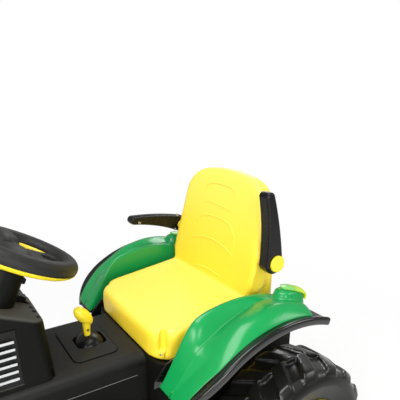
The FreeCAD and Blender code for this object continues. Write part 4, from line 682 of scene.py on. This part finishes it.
# Millimetres across the back and up from the crease.
back_arcs = {
    "head": [(-58, 190), (-56, 200), (-48, 209), (-28, 213), (0, 214),
             (28, 213), (48, 208), (56, 199), (58, 184)],
    "shoulder": [(-57, 167), (-30, 169), (0, 168), (28, 166), (50, 164)],
    "waist": [(-80, 90), (-79, 100), (-73, 116), (-60, 129), (-44, 137), (0, 140),
              (44, 137), (60, 128), (73, 114), (79, 97), (80, 86)],
    "hip": [(-80, 71), (-66, 77), (-36, 85), (0, 89), (36, 85), (66, 77), (80, 70)],
    "base": [(-60, 7), (-30, 15), (0, 19), (30, 18), (55, 15)],
}
arc_round = 0.0017
for label, points in back_arcs.items():
    arc = bead("seat_arc_" + label, [on_seat(x / 1000, rise / 1000) for x, rise in points], arc_round)
    fit(arc, seat_yellow, "chassis", "seat_yellow")


# Armrests: two black half shells screwed together round a steel bolt, with a yellow cap pressed over
# its end. The screw heads sit on the inner half, which faces the seat, and show on the right armrest.
dress(smooth_black, "left_armrest", "left_armrest_cover", "right_armrest", "right_armrest_cover")
dress(trim_yellow, "left_armrest_cap", "right_armrest_cap")
arm_screw_places = [
    Vector((-0.1622, 0.2202, 0.5184)),
    Vector((-0.1622, 0.3278, 0.5235)),
    Vector((-0.1622, 0.3215, 0.4869)),
]
first_screw = screw_head("right_arm_screw_1", arm_screw_places[0], radius=0.0034)
arm_screws = [first_screw]
for count, place in enumerate(arm_screw_places[1:], 2):
    arm_screws.append(copied(first_screw, f"right_arm_screw_{count}", place - arm_screw_places[0]))
for screw in arm_screws:
    fit(screw, zinc_steel, "right_arm", "steel")


# Mudguards: black polypropylene bands over the rear wheels, flanged to the deck, stepped up beside
# the fender and rolled down along the outer edge, with a rounded corner at the front and a flank
# plate that closes the gap to the deck. Lines here are in millimetres and degrees about the axle.
guard_black = moulded("guard_black", (0.004, 0.004, 0.0037), (0.008, 0.008, 0.0075),
                      rough=0.15, grain=0.06, gloss=0.6)
guard_centre = Vector((0, 0.300, 0.165))


def eased(stops, at):
    """Value on a smooth line through (position, value) stops, level beyond both ends."""
    places = [place for place, _ in stops]
    values = [value for _, value in stops]
    if at <= places[0]:
        return values[0]
    if at >= places[-1]:
        return values[-1]
    first = max(index for index, place in enumerate(places[:-1]) if place <= at)

    def slope(index):
        low, high = max(index - 1, 0), min(index + 1, len(stops) - 1)
        return (values[high] - values[low]) / (places[high] - places[low])

    span = places[first + 1] - places[first]
    t = (at - places[first]) / span
    rise = values[first + 1] - values[first]
    bend_in, bend_out = slope(first) * span, slope(first + 1) * span
    return (values[first] + t * bend_in + t * t * (3 * rise - 2 * bend_in - bend_out)
            + t * t * t * (bend_in + bend_out - 2 * rise))


def spread(first, last, steps):
    """Even places from the first to the last."""
    return [first + (last - first) * step / steps for step in range(steps + 1)]


def round_wheel(across, radius, angle):
    """A point beside the wheel, from millimetres across and out and degrees up from the rear."""
    turn = math.radians(angle)
    arm = Vector((0, math.cos(turn), math.sin(turn)))
    return guard_centre + arm * (radius / 1000) + Vector((across / 1000, 0, 0))


def angle_of(point):
    """Degrees up from the rear at which a point lies about the wheel."""
    out = point - guard_centre
    return math.degrees(math.atan2(out.z, out.y))


def lofted(name, angles, column_count, section):
    """A sheet round the wheel: at each angle a row of points across it."""
    bpy.ops.object.select_all(action="DESELECT")
    bpy.ops.mesh.primitive_grid_add(x_subdivisions=len(angles) - 1, y_subdivisions=column_count - 1,
                                    size=1)
    sheet = started(name)
    for vertex in sheet.data.vertices:
        angle = angles[round((vertex.co.x + 0.5) * (len(angles) - 1))]
        across, radius = section(angle)[round((vertex.co.y + 0.5) * (column_count - 1))]
        vertex.co = round_wheel(across, radius, angle)
    return sheet


def mirrored(piece, name):
    """The same piece for the other side of the tractor, with a mesh of its own."""
    twin = bpy.data.objects.new(name, piece.data.copy())
    bpy.context.collection.objects.link(twin)
    for vertex in twin.data.vertices:
        vertex.co.x = -vertex.co.x
    twin.data.flip_normals()
    return twin


guard_line = [
    (160.4, 200), (160.4, 212), (160.4, 221), (162.4, 224.6), (168, 225.2), (179, 225.2),
    (183.6, 226.2), (185.2, 230), (185.2, 244), (185.2, 256), (187, 261), (192, 262), (215, 262),
    (240, 262), (265, 262), (274, 262), (279.5, 262.6), (283.5, 265.2), (287.5, 265.8),
    (290.6, 263.2), (291.2, 257), (291.2, 250),
]
guard_tail, guard_foot, guard_step = 68.6, 147.8, 187
guard_wall, guard_rows = 0.004, 48
corner_reach = [(126, 1), (133, 0.955), (138, 0.88), (142, 0.77), (145, 0.64), (148, 0.47)]


def guard_section(angle):
    """The guard's upper skin at one angle, drawn in where its front corner is rounded."""
    reach = eased(corner_reach, angle)
    return [(x if x < guard_step else guard_step + (x - guard_step) * reach, r) for x, r in guard_line]


guard_angles = spread(guard_tail, guard_foot, guard_rows)
guard = lofted("left_mudguard_moulding", guard_angles, len(guard_line), guard_section)
apply(guard, "SOLIDIFY", thickness=guard_wall, offset=-1)
apply(guard, "SUBSURF", levels=1, render_levels=1)
bpy.ops.object.shade_smooth()
flank_side, flank_edge = 160.6, 0.0012
flank_outline = [(79, 297), (81, 311), (97, 329), (107, 340), (118, 347), (140, 352), (140, 297)]
bpy.ops.object.select_all(action="DESELECT")
bpy.ops.mesh.primitive_circle_add(vertices=len(flank_outline), radius=1, fill_type="NGON")
flank = started("guard_flank")
for vertex, (y, z) in zip(flank.data.vertices, flank_outline):
    vertex.co = Vector((flank_side, y, z)) / 1000
apply(flank, "SOLIDIFY", thickness=guard_wall, offset=0)
apply(flank, "BEVEL", width=flank_edge, segments=2, limit_method="ANGLE")
bpy.ops.object.mode_set(mode="EDIT")
bpy.ops.mesh.select_all(action="SELECT")
bpy.ops.mesh.normals_make_consistent(inside=False)
bpy.ops.object.mode_set(mode="OBJECT")
joined([guard, flank])
bpy.ops.object.shade_smooth_by_angle(angle=math.radians(40))
guard_twin = mirrored(guard, "right_mudguard_moulding")
fit(guard, guard_black, "chassis", "body_black", "left_mudguard")
fit(guard_twin, guard_black, "chassis", "body_black", "right_mudguard")


# Fenders: glossy green polypropylene mouldings that sit on the guards. The inner crown stands high
# behind the kink of the front edge, a wall slopes from it to a crease, and a broad band swells out
# over the wheel. A lamp pod rises from the rear.
fender_tail, fender_foot, fender_seat = 71.6, 146.0, 262.9
fender_wall, fender_rows = 0.003, 64
crown_line = [
    (72, 266), (76, 269), (80.7, 272), (91, 280), (97.5, 285.4), (103.9, 290.6), (111.7, 297.4),
    (115, 300), (117, 301), (119, 300.6), (121, 298), (123, 294.2), (125.6, 288.8), (131.9, 276.4),
    (138.7, 267.4), (146, 263),
]
crease_line = [
    (72, 266), (80.7, 272), (88, 276), (93, 276.6), (95.1, 276), (101.9, 271.8), (112, 268.2),
    (117, 268.4), (122, 271.5), (127, 273.8), (132, 270.4), (138.7, 265.3), (146, 263),
]
shoulder_line = [
    (72, 272), (76, 277), (80, 279.5), (86, 281.5), (92, 283), (99, 283.4), (106, 282.8), (111, 280),
    (116, 275), (122, 269.5), (128, 266.5), (134, 264.8), (140, 263.6), (146, 263),
]
crease_reach = [(72, 206.4), (110, 206.4), (120, 210), (127, 216), (146, 216)]
crease_depth = [(84, 0.0), (96, 1.0), (119, 1.0), (126, 0.0)]
hem_line = [(72, 273.4), (120, 274), (126, 273), (133, 266), (140, 258.5), (146, 250)]
skirt_line = [(71, 226.4), (138, 226.4), (140.2, 229), (143, 246), (146, 262)]
skirt_side, crown_side, shoulder_inset = 178.3, 183, 33
tail_round = [(71.6, 0.0), (72.3, 0.55), (73.4, 0.86), (75.2, 1.0)]
tail_setback = [(225, 0.0), (245, 1.2), (262, 2.6), (274, 4.8)]


def fender_section(angle):
    """The fender's outer skin at one angle, from the foot of the skirt to the hem on the guard."""
    fall = eased(tail_round, angle)
    crown, crease_at, shoulder = (fender_seat + (eased(line, angle) - fender_seat) * fall
                                  for line in (crown_line, crease_line, shoulder_line))
    hem = eased(hem_line, angle)
    skirt = eased(skirt_line, angle)
    groove = eased(crease_depth, angle)
    dip = eased(crease_reach, angle)

    def between(low, high, share):
        return low + (high - low) * share

    def on_wall(x, hollow):
        """Between crown and crease: hollow behind the kink, straight on the plain front face."""
        straight = (x - crown_side) / (dip - crown_side)
        return x, between(crown, crease_at, straight + (hollow - straight) * groove)

    def on_band(along, swollen):
        """Between crease and shoulder: swollen behind the kink, straight on the plain front face."""
        out = between(dip, hem - shoulder_inset, along)
        return out, between(crease_at, shoulder, along + (swollen - along) * groove)

    def on_roll(inset, share):
        """Between shoulder and hem, where the band rolls down on to the guard."""
        return hem - inset, between(fender_seat, shoulder, share)

    return [
        (skirt_side, skirt), (skirt_side, between(skirt, crown, 0.33)),
        (skirt_side, between(skirt, crown, 0.67)), (skirt_side + 0.1, crown - 7),
        (skirt_side + 0.9, crown - 1.6), (crown_side, crown + 0.2),
        on_wall(188.5, 0.08), on_wall(dip - 13.4, 0.27),
        on_wall(dip - 8.4, 0.53), on_wall(dip - 2.2, 0.93),
        (dip, crease_at - 0.6 * groove), (dip + 1.4, crease_at + 0.7 * groove),
        on_band(0.19, 0.27), on_band(0.34, 0.49), on_band(0.52, 0.71),
        on_band(0.67, 0.84), on_band(0.82, 0.94),
        on_roll(shoulder_inset, 1.0), on_roll(26, 0.97), on_roll(19, 0.85), on_roll(12, 0.63),
        on_roll(5, 0.34), on_roll(1, 0.1), (hem, fender_seat - 0.6),
    ]


fender_angles = spread(fender_tail, fender_foot, fender_rows)
fender = lofted("left_fender_moulding", fender_angles, len(fender_section(fender_tail)), fender_section)
for vertex in fender.data.vertices:
    out = vertex.co - guard_centre
    angle = angle_of(vertex.co)
    rearness = ((fender_foot - angle) / (fender_foot - fender_tail)) ** 4
    set_back = eased(tail_setback, out.x * 1000) * rearness
    vertex.co = round_wheel(out.x * 1000, math.hypot(out.y, out.z) * 1000, angle + set_back)
apply(fender, "SUBSURF", levels=2, render_levels=2)
pod_top = [
    (318, 446), (328, 452), (338, 456.5), (350, 457), (360, 455), (372, 451), (381, 447.5),
    (392, 442.5),
]
pod_centre, pod_half, pod_nose, pod_dome, pod_slope = 212.0, 20.0, 344.0, 7.0, 8.0
pod_tail = [(71.6, 0.0), (72.0, 0.8), (72.8, 1.0)]
pod_lowest = 400


def pod_height(x, y):
    """Height of the pod's round top."""
    return eased(pod_top, y) - pod_dome * ((x - pod_centre) / pod_half) ** 2


for vertex in fender.data.vertices:
    x, y, z = (value * 1000 for value in vertex.co)
    outside = math.hypot(x - pod_centre, max(pod_nose - y, 0)) - pod_half
    share = clamped(0.5 - outside / pod_slope)
    share = share * share * (3 - 2 * share)
    share *= eased(pod_tail, angle_of(vertex.co))
    if share > 0 and z > pod_lowest and pod_height(x, y) > z:
        vertex.co.z += (pod_height(x, y) - z) * share / 1000
apply(fender, "SOLIDIFY", thickness=fender_wall, offset=-1)
bpy.ops.object.shade_smooth()
fender_twin = mirrored(fender, "right_fender_moulding")
fit(fender, fender_green, "chassis", "body_green", "left_fender")
fit(fender_twin, fender_green, "chassis", "body_green", "right_fender")


# Tail lamps: clear yellow-green lenses, injection moulded and let into the top of the lamp pods, so
# that the green of the pod shines through at the front. Each folds down over the pod's rear edge.
lens_amber = moulded("lens_amber", (0.50, 0.66, 0.004), (0.62, 0.76, 0.010), rough=0.12, grain=0.03)
rearward = Wire(lens_amber.node_tree).along("Object", "Y").smooth_step(0.350, 0.384)
tinted(lens_amber, 1 - rearward, (0.20, 0.55, 0.13))
lens_half = [(338, 4.0), (344, 9.5), (352, 13.0), (362, 15.0), (375, 17.0), (390, 18.6)]
lens_fold = [(385.4, 0.8), (386.2, 3.0), (386.2, 7.0), (385.6, 11.0)]
lens_rows = [(y, 0.0) for y in spread(338, 384, 13)] + lens_fold
lens_columns, lens_stand, lens_thick, lens_edge = 9, 0.7, 0.0045, 0.0008
bpy.ops.object.select_all(action="DESELECT")
bpy.ops.mesh.primitive_grid_add(x_subdivisions=len(lens_rows) - 1, y_subdivisions=lens_columns - 1,
                                size=1)
lens = started("tail_lens_mouldings")
for vertex in lens.data.vertices:
    y, drop = lens_rows[round((vertex.co.x + 0.5) * (len(lens_rows) - 1))]
    x = pod_centre + 2 * vertex.co.y * eased(lens_half, y)
    vertex.co = Vector((x, y, pod_height(x, y) + lens_stand - drop)) / 1000
apply(lens, "SOLIDIFY", thickness=lens_thick, offset=-1)
apply(lens, "BEVEL", width=lens_edge, segments=2, limit_method="ANGLE")
apply(lens, "SUBSURF", levels=1, render_levels=1)
bpy.ops.object.shade_smooth()
joined([lens, mirrored(lens, "tail_lens_twin")])
fit(lens, lens_amber, "chassis", "lens_amber", "tail_lenses")
